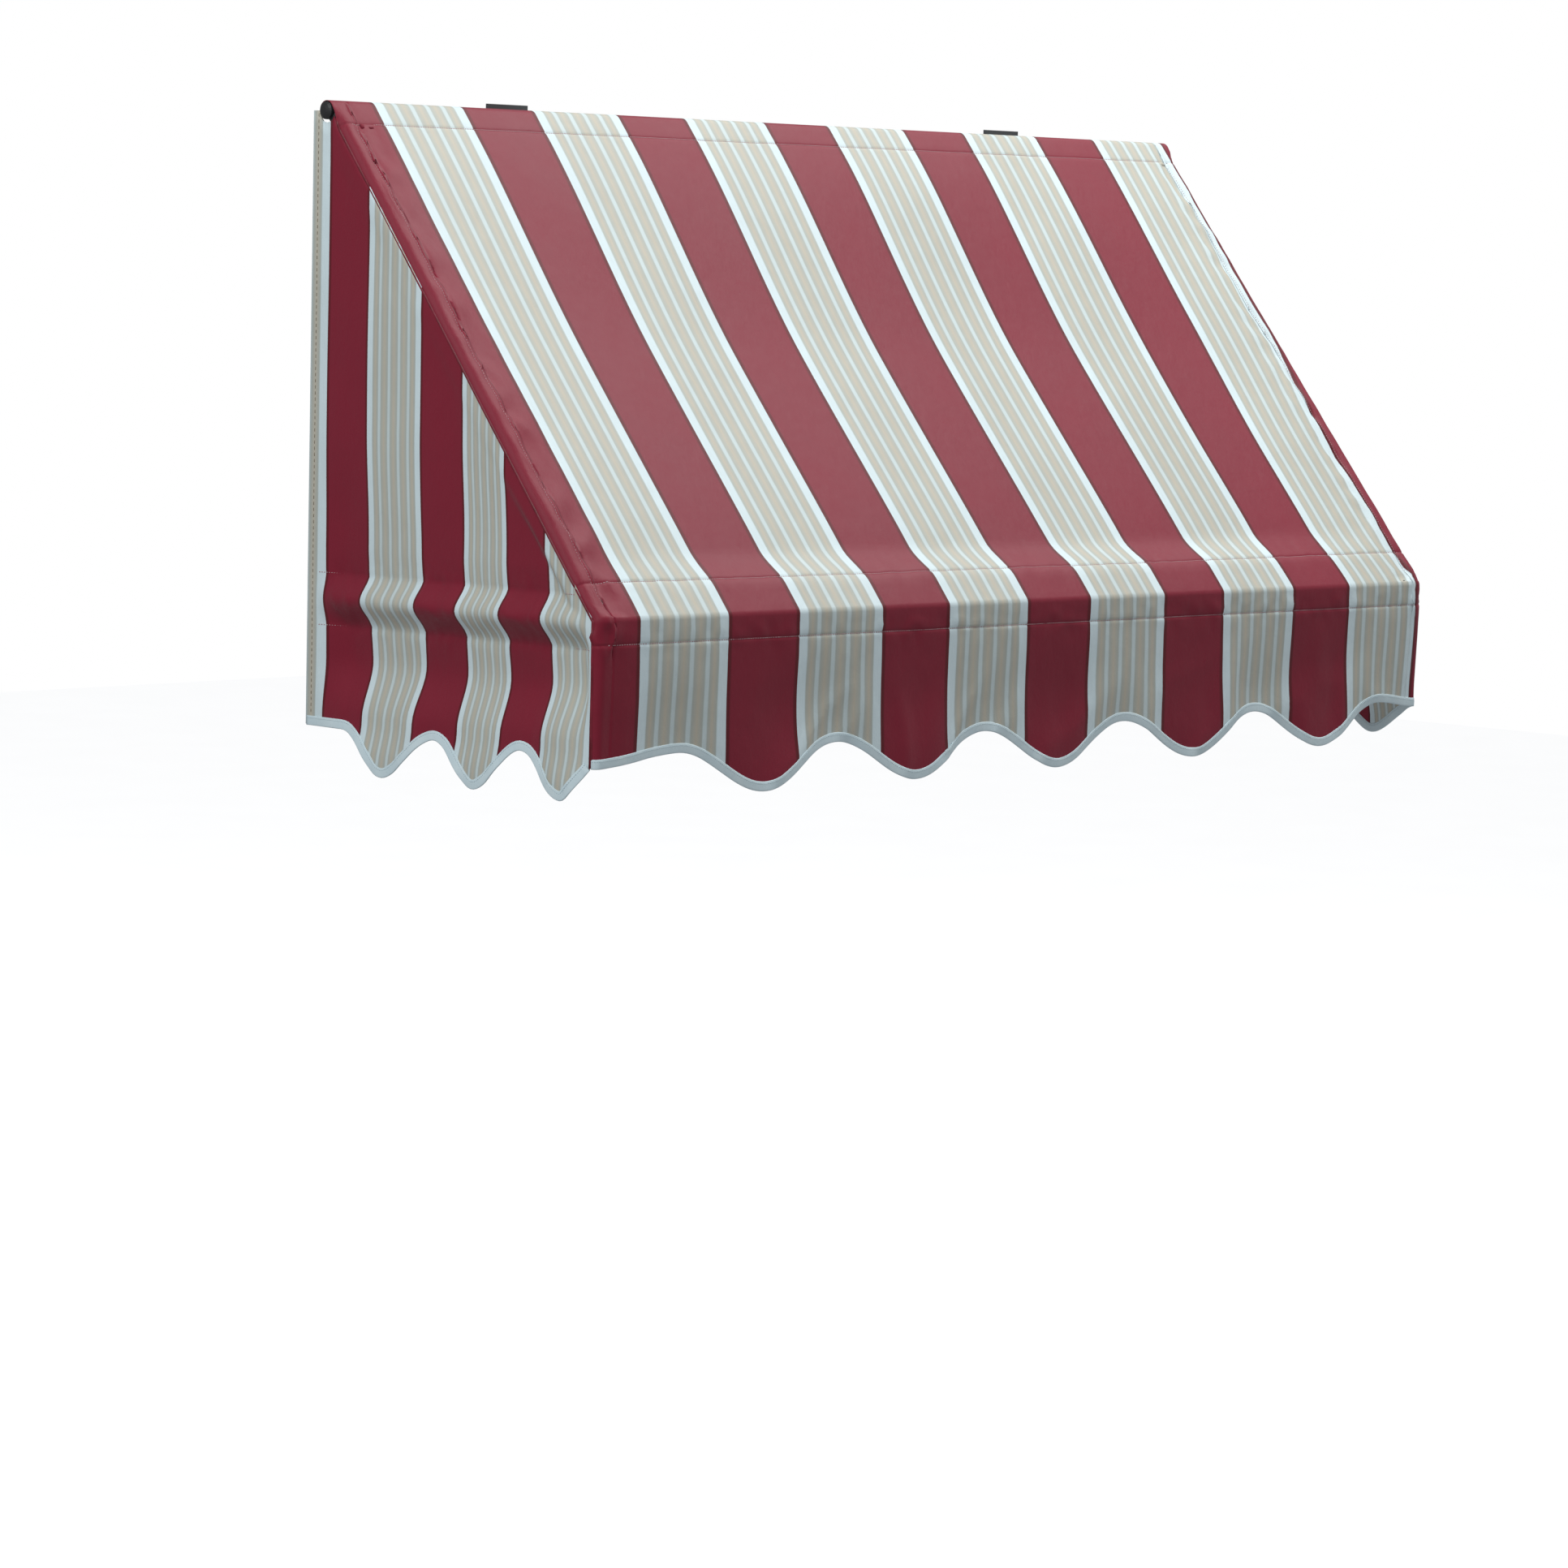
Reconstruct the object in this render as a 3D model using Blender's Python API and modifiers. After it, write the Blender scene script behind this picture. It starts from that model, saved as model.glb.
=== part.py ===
"""A window awning: striped cloth stretched over a fixed, wedge-shaped frame of round tube.

The row frame has X along the wall, Y = 0 on the wall with the front towards -Y, and Z = 0
at the axis of the top bar. Each physical piece is one object. Units are metres.
"""

import math

import bmesh
import bpy
from mathutils import Matrix, Vector

# ---------------------------------------------------------------- driving dimensions
WIDTH = 1.803                # 71 inches over the cloth
PROJECTION = 0.597           # 23.5 inches from the wall to the face of the front valance
RISE = 0.680                 # top bar axis to front bar axis
VALANCE_DROP = 0.195         # from the crease over the front bar to the high points of the hem
SCALLOP_DEPTH = 0.060        # from the high points of the hem to the low ones

TUBE_RADIUS = 0.0125
TUBE_WALL = 0.0012
TUBE_SEGMENTS = 24
CLOTH = 0.0014               # thickness of the cloth solids
GAP = 0.0006                 # between the cloth and what it lies on
SEAM_GAP = 0.0005            # between two cloths that meet at a seam
TOP_STANDOFF = 0.030         # wall to top bar axis

# ---------------------------------------------------------------- stripes that set the hem
STRIPE_PITCH = 0.307         # one pale and one red stripe on the roof and front
PALE_STRIPE = 0.167
LEFT_RED_BAND = 0.080        # the red band left of the first pale stripe
FRONT_PALE_STRIPES = 6
# Each side hem's (distance from the wall, share of the scallop depth) at its turns.
SIDE_HEMS = {
    "left": ((0.0, 0.0), (0.080, 0.0), (0.178, 1.0), (0.277, 0.0), (0.363, 1.0),
             (0.448, 0.0), (0.541, 1.0), (0.597, 0.15)),
    "right": ((0.0, 0.2), (0.035, 0.0), (0.128, 1.0), (0.222, 0.0), (0.313, 1.0),
              (0.403, 0.0), (0.492, 1.0), (0.597, 0.15)),
}
BINDING_HEIGHT = 0.012
BINDING_THICKNESS = 0.0026
BINDING_GAP = 0.0003

# ---------------------------------------------------------------- joints of the frame
HUB_RADIUS = 0.0127
CORNER_STUB = 0.036          # from a front corner's centre to the end of each tube
TOP_STUB = 0.020             # the same at a top corner
SPIGOT_RADIUS = 0.0108
SPIGOT_LENGTH = 0.030
TUBE_END_GAP = 0.0005
SCREW_SETBACK = 0.014        # from a tube's end to its screw
SCREW_RADIUS = 0.0020
SCREW_HOLE = 0.0024
SCREW_HEAD_RADIUS = 0.0038
SCREW_HEAD_HEIGHT = 0.0024
SCREW_REACH = 0.0085         # how far a screw goes in below the tube's surface
SEAT_GAP = 0.0003            # under a screw or bolt head, and round a bar in its bracket
CAP_BORE = 0.0098            # the stub's bore for the end plug
CAP_PLUG = 0.0094
CAP_DOME = 0.0060            # how far the plug's dome stands out
CAP_DEPTH = 0.006            # from the corner's centre to the plug's inner end

# ---------------------------------------------------------------- wall brackets
TOP_BRACKET_X = 0.535
TOP_BRACKET_WIDTH = 0.080
BRACKET_SHEET = 0.0025
BRACKET_TOP = 0.022
BRACKET_FOOT = -0.062
BRACKET_LIP_ANGLE = 200.0    # where the curled lip ends, in degrees round the bar
WALL_HOLE_RADIUS = 0.0032
TOP_WALL_HOLES = ((-0.025, -0.042), (0.025, -0.042))
TOP_SCREW_REACH = 0.006      # how far the top bar's screw goes in below the tube's surface
LOWER_PLATE_WIDTH = 0.042
LOWER_PLATE_HEIGHT = 0.096
LOWER_PLATE_SHEET = 0.003
LOWER_PLATE_EDGE = 0.0115    # from the arm's axis to the plate's outer edge
LOWER_PLATE_CORNER = 0.006
LOWER_WALL_HOLE_Z = 0.036
ARM_SOCKET_LENGTH = 0.050
ARM_BOLT_Y = -0.032
BOLT_RADIUS = 0.0030
BOLT_HOLE = 0.0034
BOLT_HEAD_RADIUS = 0.0058
BOLT_HEAD_HEIGHT = 0.0040
NUT_HEIGHT = 0.0050
BOLT_TAIL = 0.003            # how far the bolt shows below its nut
DRILL_START = 0.010          # a drill starts this far outside the face

# ---------------------------------------------------------------- sewn pockets and slack
TOP_POCKET = 0.034           # top bar axis to the stitching of its pocket, down the slope
FRONT_POCKET_UP = 0.055      # front bar axis to the upper stitching, up the slope
FRONT_POCKET_DOWN = 0.030    # front bar axis to the lower stitching
ARM_POCKET_HALF = 0.042
POCKET_END = 0.085           # the pockets stop this far from a corner
ARM_POCKET_WALL_END = 0.075
NOTCH_MARGIN = 0.012         # cloth cut away each side of a bracket
ROOF_SLACK = 0.020           # how far the roof cloth dips between the rafters
TAUT_MARGIN = 0.070          # the roof is taut this close to the top and front bars
PANEL_CLEARANCE = 0.0165     # between the top bar's axis and a side panel's edge
RAFTER_CLEARANCE = 0.016     # between a rafter's axis and the top pocket's end

# ---------------------------------------------------------------- derived places
CLOTH_INNER = TUBE_RADIUS + GAP
CLOTH_MIDDLE = CLOTH_INNER + CLOTH / 2
CLOTH_OUTER = CLOTH_INNER + CLOTH
FRONT_Y = -(PROJECTION - CLOTH_OUTER)
FRONT_Z = -RISE
TOP_Y = -TOP_STANDOFF
SIDE_INNER_X = WIDTH / 2 - GAP - CLOTH
SIDE_MIDDLE_X = WIDTH / 2 - GAP - CLOTH / 2
ARM_X = SIDE_INNER_X - GAP - TUBE_RADIUS
VALANCE_Y = FRONT_Y - CLOTH_MIDDLE
HEM_HIGH = FRONT_Z + CLOTH_OUTER - VALANCE_DROP

DOWN_SLOPE = Vector((0, FRONT_Y - TOP_Y, FRONT_Z)).normalized()
ROOF_NORMAL = Vector((0, DOWN_SLOPE.z, -DOWN_SLOPE.y))
ROOF_RUN = math.hypot(FRONT_Y - TOP_Y, RISE)
ROOF_ANGLE = math.degrees(math.atan2(ROOF_NORMAL.z, ROOF_NORMAL.y))
SIDES = (("left", -1), ("right", 1))


# ---------------------------------------------------------------- scene helpers
def empty_scene():
    for old in list(bpy.data.objects):
        bpy.data.objects.remove(old, do_unlink=True)


def new_collection(name):
    collection = bpy.data.collections.new(name)
    bpy.context.scene.collection.children.link(collection)
    return collection


def new_material(name, colour, roughness, metallic=0.0):
    material = bpy.data.materials.new(name)
    material.use_nodes = True
    shader = material.node_tree.nodes["Principled BSDF"]
    shader.inputs["Base Color"].default_value = (*colour, 1.0)
    shader.inputs["Roughness"].default_value = roughness
    shader.inputs["Metallic"].default_value = metallic
    material.diffuse_color = (*colour, 1.0)
    return material


empty_scene()
AWNING = new_collection("window_awning")
CUTTERS = new_collection("cutters")
ROOT = bpy.data.objects.new("awning_root", None)
AWNING.objects.link(ROOT)

RED_CLOTH = new_material("striped_cloth", (0.30, 0.03, 0.06), 0.85)
LINING = new_material("pocket_cloth", (0.55, 0.53, 0.47), 0.85)
BINDING = new_material("pale_binding", (0.72, 0.84, 0.88), 0.75)
FRAME = new_material("frame_paint", (0.06, 0.065, 0.07), 0.42)
PLASTIC = new_material("black_plastic", (0.02, 0.02, 0.022), 0.5)
ZINC = new_material("zinc_steel", (0.62, 0.63, 0.64), 0.35, 1.0)


def add_part(name, mesh, material, matrix=None):
    """A piece of the awning, placed by matrix."""
    part = bpy.data.objects.new(name, mesh)
    mesh.materials.clear()
    mesh.materials.append(material)
    AWNING.objects.link(part)
    part.parent = ROOT
    part.matrix_local = matrix or Matrix.Identity(4)
    return part


def add_helper(name, mesh, matrix):
    """A shape that only cuts or joins another."""
    helper = bpy.data.objects.new(name, mesh)
    CUTTERS.objects.link(helper)
    helper.matrix_local = matrix
    helper.hide_render = True
    helper.display_type = "WIRE"
    return helper


def boolean(part, helper, operation):
    modifier = part.modifiers.new(helper.name, "BOOLEAN")
    modifier.object = helper
    modifier.operation = operation
    modifier.solver = "EXACT"


def thicken(part, thickness, offset):
    modifier = part.modifiers.new("thickness", "SOLIDIFY")
    modifier.thickness = thickness
    modifier.offset = offset
    modifier.use_even_offset = True


def along(start, direction):
    """The matrix that puts a shape's origin at start and its +Z along direction."""
    facing = Vector(direction).to_track_quat("Z", "Y").to_matrix().to_4x4()
    return Matrix.Translation(Vector(start)) @ facing


# ---------------------------------------------------------------- basic meshes
def cylinder_mesh(radius, length, segments=TUBE_SEGMENTS, capped=True, bottom=0.0):
    """A cylinder on +Z from bottom to bottom + length."""
    mesh = bpy.data.meshes.new("cylinder")
    bm = bmesh.new()
    bmesh.ops.create_cone(bm, cap_ends=capped, segments=segments, radius1=radius,
                          radius2=radius, depth=length,
                          matrix=Matrix.Translation((0, 0, bottom + length / 2)))
    bm.to_mesh(mesh)
    bm.free()
    smooth(mesh)
    return mesh


def smooth(mesh):
    mesh.shade_smooth()
    mesh.set_sharp_from_angle(angle=math.radians(35))


def turned_mesh(name, profile):
    """A round shape on +Z. The profile is (radius, height) pairs, from its top to its bottom."""
    mesh = bpy.data.meshes.new(name)
    edges = [(i, i + 1) for i in range(len(profile) - 1)]
    mesh.from_pydata([(radius, 0, height) for radius, height in profile], edges, [])
    return mesh


def turn(part, steps):
    modifier = part.modifiers.new("turned", "SCREW")
    modifier.axis = "Z"
    modifier.steps = steps
    modifier.render_steps = steps
    modifier.use_merge_vertices = True
    modifier.merge_threshold = 0.00001
    modifier.use_smooth_shade = True


def arc_points(centre, radius, start_deg, end_deg, steps):
    """Points round a centre in a plane, both ends included."""
    angles = [math.radians(start_deg + (end_deg - start_deg) * i / steps)
              for i in range(steps + 1)]
    return [(centre[0] + radius * math.cos(a), centre[1] + radius * math.sin(a))
            for a in angles]


def tangent_angle(centre, radius, point, side):
    """Where a line from point touches a circle, in degrees; side is +1 or -1."""
    dx, dy = point[0] - centre[0], point[1] - centre[1]
    away = math.degrees(math.acos(radius / math.hypot(dx, dy)))
    return math.degrees(math.atan2(dy, dx)) + side * away


def extruded_mesh(outline, thickness):
    """A flat outline in X and Y, thickened evenly about Z = 0, as a closed mesh."""
    curve = bpy.data.curves.new("outline", "CURVE")
    curve.dimensions = "2D"
    curve.fill_mode = "BOTH"
    curve.extrude = thickness / 2
    spline = curve.splines.new("POLY")
    spline.points.add(len(outline) - 1)
    for point, (x, y) in zip(spline.points, outline):
        point.co = (x, y, 0, 1)
    spline.use_cyclic_u = True
    holder = bpy.data.objects.new("outline", curve)
    bpy.context.scene.collection.objects.link(holder)
    evaluated = holder.evaluated_get(bpy.context.evaluated_depsgraph_get())
    mesh = bpy.data.meshes.new_from_object(evaluated)
    bpy.data.objects.remove(holder)
    bm = bmesh.new()
    bm.from_mesh(mesh)
    bmesh.ops.remove_doubles(bm, verts=bm.verts, dist=0.00001)
    bmesh.ops.recalc_face_normals(bm, faces=bm.faces)
    bm.to_mesh(mesh)
    bm.free()
    return mesh


# ---------------------------------------------------------------- frame tubes
def tube(name, start, end):
    """A round tube, open at both ends."""
    start, end = Vector(start), Vector(end)
    mesh = cylinder_mesh(TUBE_RADIUS, (end - start).length, capped=False)
    part = add_part(name, mesh, FRAME, along(start, end - start))
    thicken(part, TUBE_WALL, -1.0)
    return part


def corner(side):
    """The centre of a front corner."""
    return Vector((side * ARM_X, FRONT_Y, FRONT_Z))


def top_corner(side):
    return Vector((side * ARM_X, TOP_Y, 0))


def build_tubes():
    half_top = ARM_X - TOP_STUB - TUBE_END_GAP
    half_front = ARM_X - CORNER_STUB - TUBE_END_GAP
    tubes = {
        "top_bar": tube("top_bar", (-half_top, TOP_Y, 0), (half_top, TOP_Y, 0)),
        "front_bar": tube("front_bar", (-half_front, FRONT_Y, FRONT_Z),
                          (half_front, FRONT_Y, FRONT_Z)),
    }
    for label, side in SIDES:
        arm_front = corner(side) + Vector((0, CORNER_STUB + TUBE_END_GAP, 0))
        arm_back = Vector((side * ARM_X, -LOWER_PLATE_SHEET - TUBE_END_GAP, FRONT_Z))
        tubes["side_arm_" + label] = tube("side_arm_" + label, arm_back, arm_front)
        upper = top_corner(side) + DOWN_SLOPE * (TOP_STUB + TUBE_END_GAP)
        lower = corner(side) - DOWN_SLOPE * (CORNER_STUB + TUBE_END_GAP)
        tubes["rafter_" + label] = tube("rafter_" + label, upper, lower)
    return tubes


# ---------------------------------------------------------------- moulded connectors
def connector(name, centre, legs):
    """A ball with one stub and spigot for each leg: (direction, stub length)."""
    ball = bpy.data.meshes.new(name)
    bm = bmesh.new()
    bmesh.ops.create_uvsphere(bm, u_segments=20, v_segments=12, radius=HUB_RADIUS)
    bm.to_mesh(ball)
    bm.free()
    smooth(ball)
    part = add_part(name, ball, PLASTIC, Matrix.Translation(centre))
    for index, (direction, stub) in enumerate(legs):
        place = along(centre, direction)
        shapes = (
            ("stub", cylinder_mesh(TUBE_RADIUS, stub)),
            ("spigot", cylinder_mesh(SPIGOT_RADIUS, stub + SPIGOT_LENGTH)),
        )
        for word, mesh in shapes:
            boolean(part, add_helper(f"{name}_{word}_{index}", mesh, place), "UNION")
    return part


def add_screw(name, place, seat, tip, pieces):
    """A domed screw from its tip to its seat, both heights above the axis, and its hole."""
    profile = (
        (0, seat + SCREW_HEAD_HEIGHT),
        (SCREW_HEAD_RADIUS * 0.6, seat + SCREW_HEAD_HEIGHT * 0.9),
        (SCREW_HEAD_RADIUS, seat + SCREW_HEAD_HEIGHT * 0.4),
        (SCREW_HEAD_RADIUS, seat),
        (SCREW_RADIUS, seat),
        (SCREW_RADIUS, tip + SCREW_RADIUS),
        (0, tip),
    )
    part = add_part(name, turned_mesh(name, profile), ZINC, place)
    turn(part, 14)
    hole = cylinder_mesh(SCREW_HOLE, TUBE_RADIUS, segments=12, bottom=tip - 0.001)
    cutter = add_helper(name + "_hole", hole, place)
    for piece in pieces:
        boolean(piece, cutter, "DIFFERENCE")


def joint_screw(name, spot, outward, pieces):
    """A screw through a tube into a spigot; outward points from the axis to its head."""
    place = along(spot, Vector(outward).normalized())
    add_screw(name, place, TUBE_RADIUS + SEAT_GAP, TUBE_RADIUS - SCREW_REACH, pieces)


def build_connectors(tubes):
    behind_below = Vector((0, 1, -1))
    for label, side in SIDES:
        inward = Vector((-side, 0, 0))
        backward = Vector((0, 1, 0))
        front = connector("front_corner_" + label, corner(side), (
            (inward, CORNER_STUB), (backward, CORNER_STUB), (-DOWN_SLOPE, CORNER_STUB)))
        top = connector("top_corner_" + label, top_corner(side), (
            (inward, TOP_STUB), (DOWN_SLOPE, TOP_STUB)))
        add_cap(label, side, top)
        reach = CORNER_STUB + SCREW_SETBACK
        joint_screw("front_bar_screw_" + label, corner(side) + inward * reach,
                    behind_below, (tubes["front_bar"], front))
        joint_screw("arm_front_screw_" + label, corner(side) + backward * reach,
                    inward, (tubes["side_arm_" + label], front))
        joint_screw("rafter_lower_screw_" + label, corner(side) - DOWN_SLOPE * reach,
                    inward, (tubes["rafter_" + label], front))
        reach = TOP_STUB + SCREW_SETBACK
        joint_screw("rafter_upper_screw_" + label, top_corner(side) + DOWN_SLOPE * reach,
                    inward, (tubes["rafter_" + label], top))


def add_cap(label, side, top):
    """The short stub that ends the top bar line, and the domed plug pressed into it."""
    outward = Vector((side, 0, 0))
    mouth = WIDTH / 2 - ARM_X
    stub = cylinder_mesh(TUBE_RADIUS, mouth)
    place = along(top_corner(side), outward)
    boolean(top, add_helper(f"cap_stub_{label}", stub, place), "UNION")
    bore = cylinder_mesh(CAP_BORE, mouth, bottom=CAP_DEPTH - 0.002)
    boolean(top, add_helper(f"cap_bore_{label}", bore, place), "DIFFERENCE")
    face = mouth + SEAT_GAP
    profile = (
        (0, face + CAP_DOME),
        (TUBE_RADIUS * 0.40, face + CAP_DOME * 0.9),
        (TUBE_RADIUS * 0.76, face + CAP_DOME * 0.6),
        (TUBE_RADIUS, face + CAP_DOME * 0.2),
        (TUBE_RADIUS, face),
        (CAP_PLUG, face),
        (CAP_PLUG, CAP_DEPTH),
        (0, CAP_DEPTH),
    )
    cap = add_part("top_bar_cap_" + label, turned_mesh("top_bar_cap", profile), PLASTIC, place)
    turn(cap, 20)


# ---------------------------------------------------------------- wall brackets
def top_bracket_outline():
    """The bracket's section in (Y, Z): wall plate, shelf under the bar and curled lip."""
    centre = (TOP_Y, 0.0)
    inner = TUBE_RADIUS + SEAT_GAP
    outer = inner + BRACKET_SHEET
    under = arc_points(centre, outer, 270, BRACKET_LIP_ANGLE, 7)
    over = arc_points(centre, inner, BRACKET_LIP_ANGLE, 270, 7)
    return [
        (0.0, BRACKET_TOP), (0.0, BRACKET_FOOT), (-BRACKET_SHEET, BRACKET_FOOT),
        (-BRACKET_SHEET, -outer),
        *under, *over,
        (-BRACKET_SHEET, -inner), (-BRACKET_SHEET, BRACKET_TOP),
    ]


def build_top_brackets(tubes):
    section_to_world = Matrix(((0, 0, 1, 0), (1, 0, 0, 0), (0, 1, 0, 0), (0, 0, 0, 1)))
    for label, side in SIDES:
        centre_x = side * TOP_BRACKET_X
        mesh = extruded_mesh(top_bracket_outline(), TOP_BRACKET_WIDTH)
        place = Matrix.Translation((centre_x, 0, 0)) @ section_to_world
        bracket = add_part("top_wall_bracket_" + label, mesh, FRAME, place)
        for index, (dx, z) in enumerate(TOP_WALL_HOLES):
            drill(bracket, f"top_wall_hole_{label}_{index}", centre_x + dx, z)
        add_bar_screw(label, centre_x, bracket, tubes["top_bar"])


def drill(part, name, x, z):
    """A wall screw's hole, drilled along -Y from behind the wall plane."""
    hole = cylinder_mesh(WALL_HOLE_RADIUS, 2 * DRILL_START, segments=16)
    place = along((x, DRILL_START, z), (0, -1, 0))
    boolean(part, add_helper(name, hole, place), "DIFFERENCE")


def add_bar_screw(label, centre_x, bracket, top_bar):
    """The screw that comes up through a bracket's shelf into the top bar."""
    seat = TUBE_RADIUS + SEAT_GAP + BRACKET_SHEET + SEAT_GAP
    place = along((centre_x, TOP_Y, 0), (0, 0, -1))
    add_screw("top_bar_screw_" + label, place, seat, TUBE_RADIUS - TOP_SCREW_REACH,
              (bracket, top_bar))


def rounded_rectangle(width, height, radius):
    """Corners as quarter circles, going round anticlockwise."""
    outline = []
    for index, (sx, sy) in enumerate(((1, 1), (-1, 1), (-1, -1), (1, -1))):
        centre = (sx * (width / 2 - radius), sy * (height / 2 - radius))
        outline += arc_points(centre, radius, 90 * index, 90 * index + 90, 4)
    return outline


def build_lower_brackets(tubes):
    plate_to_world = Matrix(((1, 0, 0, 0), (0, 0, -1, 0), (0, 1, 0, 0), (0, 0, 0, 1)))
    for label, side in SIDES:
        centre_x = side * (ARM_X + LOWER_PLATE_EDGE - LOWER_PLATE_WIDTH / 2)
        outline = rounded_rectangle(LOWER_PLATE_WIDTH, LOWER_PLATE_HEIGHT, LOWER_PLATE_CORNER)
        mesh = extruded_mesh(outline, LOWER_PLATE_SHEET)
        place = Matrix.Translation((centre_x, -LOWER_PLATE_SHEET / 2, FRONT_Z)) @ plate_to_world
        bracket = add_part("lower_wall_bracket_" + label, mesh, FRAME, place)
        axis_start = (side * ARM_X, -LOWER_PLATE_SHEET / 2, FRONT_Z)
        socket = add_helper("arm_socket_" + label,
                            cylinder_mesh(SPIGOT_RADIUS, ARM_SOCKET_LENGTH),
                            along(axis_start, (0, -1, 0)))
        boolean(bracket, socket, "UNION")
        bore = add_helper("arm_socket_bore_" + label,
                          cylinder_mesh(SPIGOT_RADIUS - 0.002, ARM_SOCKET_LENGTH),
                          along((side * ARM_X, -LOWER_PLATE_SHEET, FRONT_Z), (0, -1, 0)))
        boolean(bracket, bore, "DIFFERENCE")
        for index, dz in enumerate((-LOWER_WALL_HOLE_Z, LOWER_WALL_HOLE_Z)):
            drill(bracket, f"lower_wall_hole_{label}_{index}", centre_x, FRONT_Z + dz)
        add_arm_bolt(label, side, bracket, tubes["side_arm_" + label])


def add_arm_bolt(label, side, bracket, arm):
    """The upright bolt and nut that lock a side arm on its bracket's socket."""
    place = Matrix.Translation((side * ARM_X, ARM_BOLT_Y, FRONT_Z))
    seat = TUBE_RADIUS + SEAT_GAP
    nut_top = -seat
    end = nut_top - NUT_HEIGHT - BOLT_TAIL
    head = cylinder_mesh(BOLT_HEAD_RADIUS, BOLT_HEAD_HEIGHT, segments=6, bottom=seat)
    bolt = add_part("arm_bolt_" + label, head, ZINC, place)
    shank = cylinder_mesh(BOLT_RADIUS, seat - end + BOLT_HEAD_HEIGHT / 2, 16, bottom=end)
    boolean(bolt, add_helper("bolt_shank_" + label, shank, place), "UNION")
    nut_mesh = cylinder_mesh(BOLT_HEAD_RADIUS, NUT_HEIGHT, 6, bottom=nut_top - NUT_HEIGHT)
    nut = add_part("arm_nut_" + label, nut_mesh, ZINC, place)
    hole = add_helper("bolt_hole_" + label,
                      cylinder_mesh(BOLT_HOLE, 0.06, 16, bottom=-0.03), place)
    for piece in (bracket, arm, nut):
        boolean(piece, hole, "DIFFERENCE")


# ---------------------------------------------------------------- cloth
def sheet(name, columns, rows, point, thickness, material, keep=None):
    """A cloth solid: a grid whose vertex (column, row) sits at point(column, row)."""
    mesh = bpy.data.meshes.new(name)
    bm = bmesh.new()
    bmesh.ops.create_grid(bm, x_segments=columns, y_segments=rows, size=0.5)
    spots = {}
    for vertex in bm.verts:
        column = round((vertex.co.x + 0.5) * columns)
        row = round((vertex.co.y + 0.5) * rows)
        spots[vertex] = (column, row)
        vertex.co = point(column, row)
    if keep:
        unwanted = []
        for face in bm.faces:
            column = min(spots[v][0] for v in face.verts)
            row = min(spots[v][1] for v in face.verts)
            if not keep(column, row):
                unwanted.append(face)
        bmesh.ops.delete(bm, geom=unwanted, context="FACES")
    bm.to_mesh(mesh)
    bm.free()
    smooth(mesh)
    part = add_part(name, mesh, material)
    thicken(part, thickness, 0.0)
    return part


def ease(value):
    """0 below 0, 1 above 1, and a smooth step between."""
    value = min(1.0, max(0.0, value))
    return value * value * (3 - 2 * value)


def first_high():
    return -WIDTH / 2 + LEFT_RED_BAND + PALE_STRIPE / 2


def front_hem(x):
    """Height of the front hem: high under the pale stripes, low under the red ones."""
    start = first_high()
    end = start + (FRONT_PALE_STRIPES - 1) * STRIPE_PITCH
    turn_at = min(max(x, start), end)
    low = (1 - math.cos(2 * math.pi * (turn_at - start) / STRIPE_PITCH)) / 2
    return HEM_HIGH - SCALLOP_DEPTH * low


def side_hem(distance, label):
    """Height of a side hem at a distance from the wall."""
    stations = SIDE_HEMS[label]
    for (d0, low0), (d1, low1) in zip(stations, stations[1:]):
        if distance <= d1:
            low = low0 + (low1 - low0) * ease((distance - d0) / (d1 - d0))
            return HEM_HIGH - SCALLOP_DEPTH * low
    return HEM_HIGH


def roof_dip(x, run):
    """How far the slack roof cloth hangs below its taut plane."""
    across = 1 - min(1.0, abs(x) / (ARM_X - 0.02)) ** 4
    down = (run - TAUT_MARGIN) / (ROOF_RUN - 2 * TAUT_MARGIN)
    down = math.sin(math.pi * min(1.0, max(0.0, down))) ** 2
    return ROOF_SLACK * across * down


def canopy_rows():
    """The roof's section as (Y, Z, run): run is the distance down the slope, or None."""
    top, front = (TOP_Y, 0.0), (FRONT_Y, FRONT_Z)
    under = CLOTH_INNER - SEAM_GAP - CLOTH / 2
    stitch = Vector((0, TOP_Y, 0)) + DOWN_SLOPE * TOP_POCKET + ROOF_NORMAL * under
    leave = tangent_angle(top, CLOTH_MIDDLE, (stitch.y, stitch.z), 1) % 360
    rows = [(stitch.y, stitch.z, None)]
    rows += [(y, z, None) for y, z in arc_points(top, CLOTH_MIDDLE, leave, 360 + 40, 6)]
    rows += [(y, z, None) for y, z in arc_points(top, CLOTH_MIDDLE, 360 + 60,
                                                 360 + ROOF_ANGLE, 4)]
    slope_rows = 10
    for index in range(1, slope_rows):
        run = TAUT_MARGIN + (ROOF_RUN - 2 * TAUT_MARGIN) * (index - 1) / (slope_rows - 2)
        spot = Vector((0, TOP_Y, 0)) + DOWN_SLOPE * run + ROOF_NORMAL * CLOTH_MIDDLE
        rows.append((spot.y, spot.z, run))
    rows += [(y, z, None) for y, z in arc_points(front, CLOTH_MIDDLE, ROOF_ANGLE, 180, 3)]
    return rows


def front_columns():
    """Places along X where the roof's and the front hem's grids have a column."""
    step = STRIPE_PITCH / 8
    first = first_high() - STRIPE_PITCH / 2 + step
    count = math.ceil((WIDTH / 2 - first) / step)
    return [-WIDTH / 2, *(first + step * i for i in range(count)), WIDTH / 2]


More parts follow.
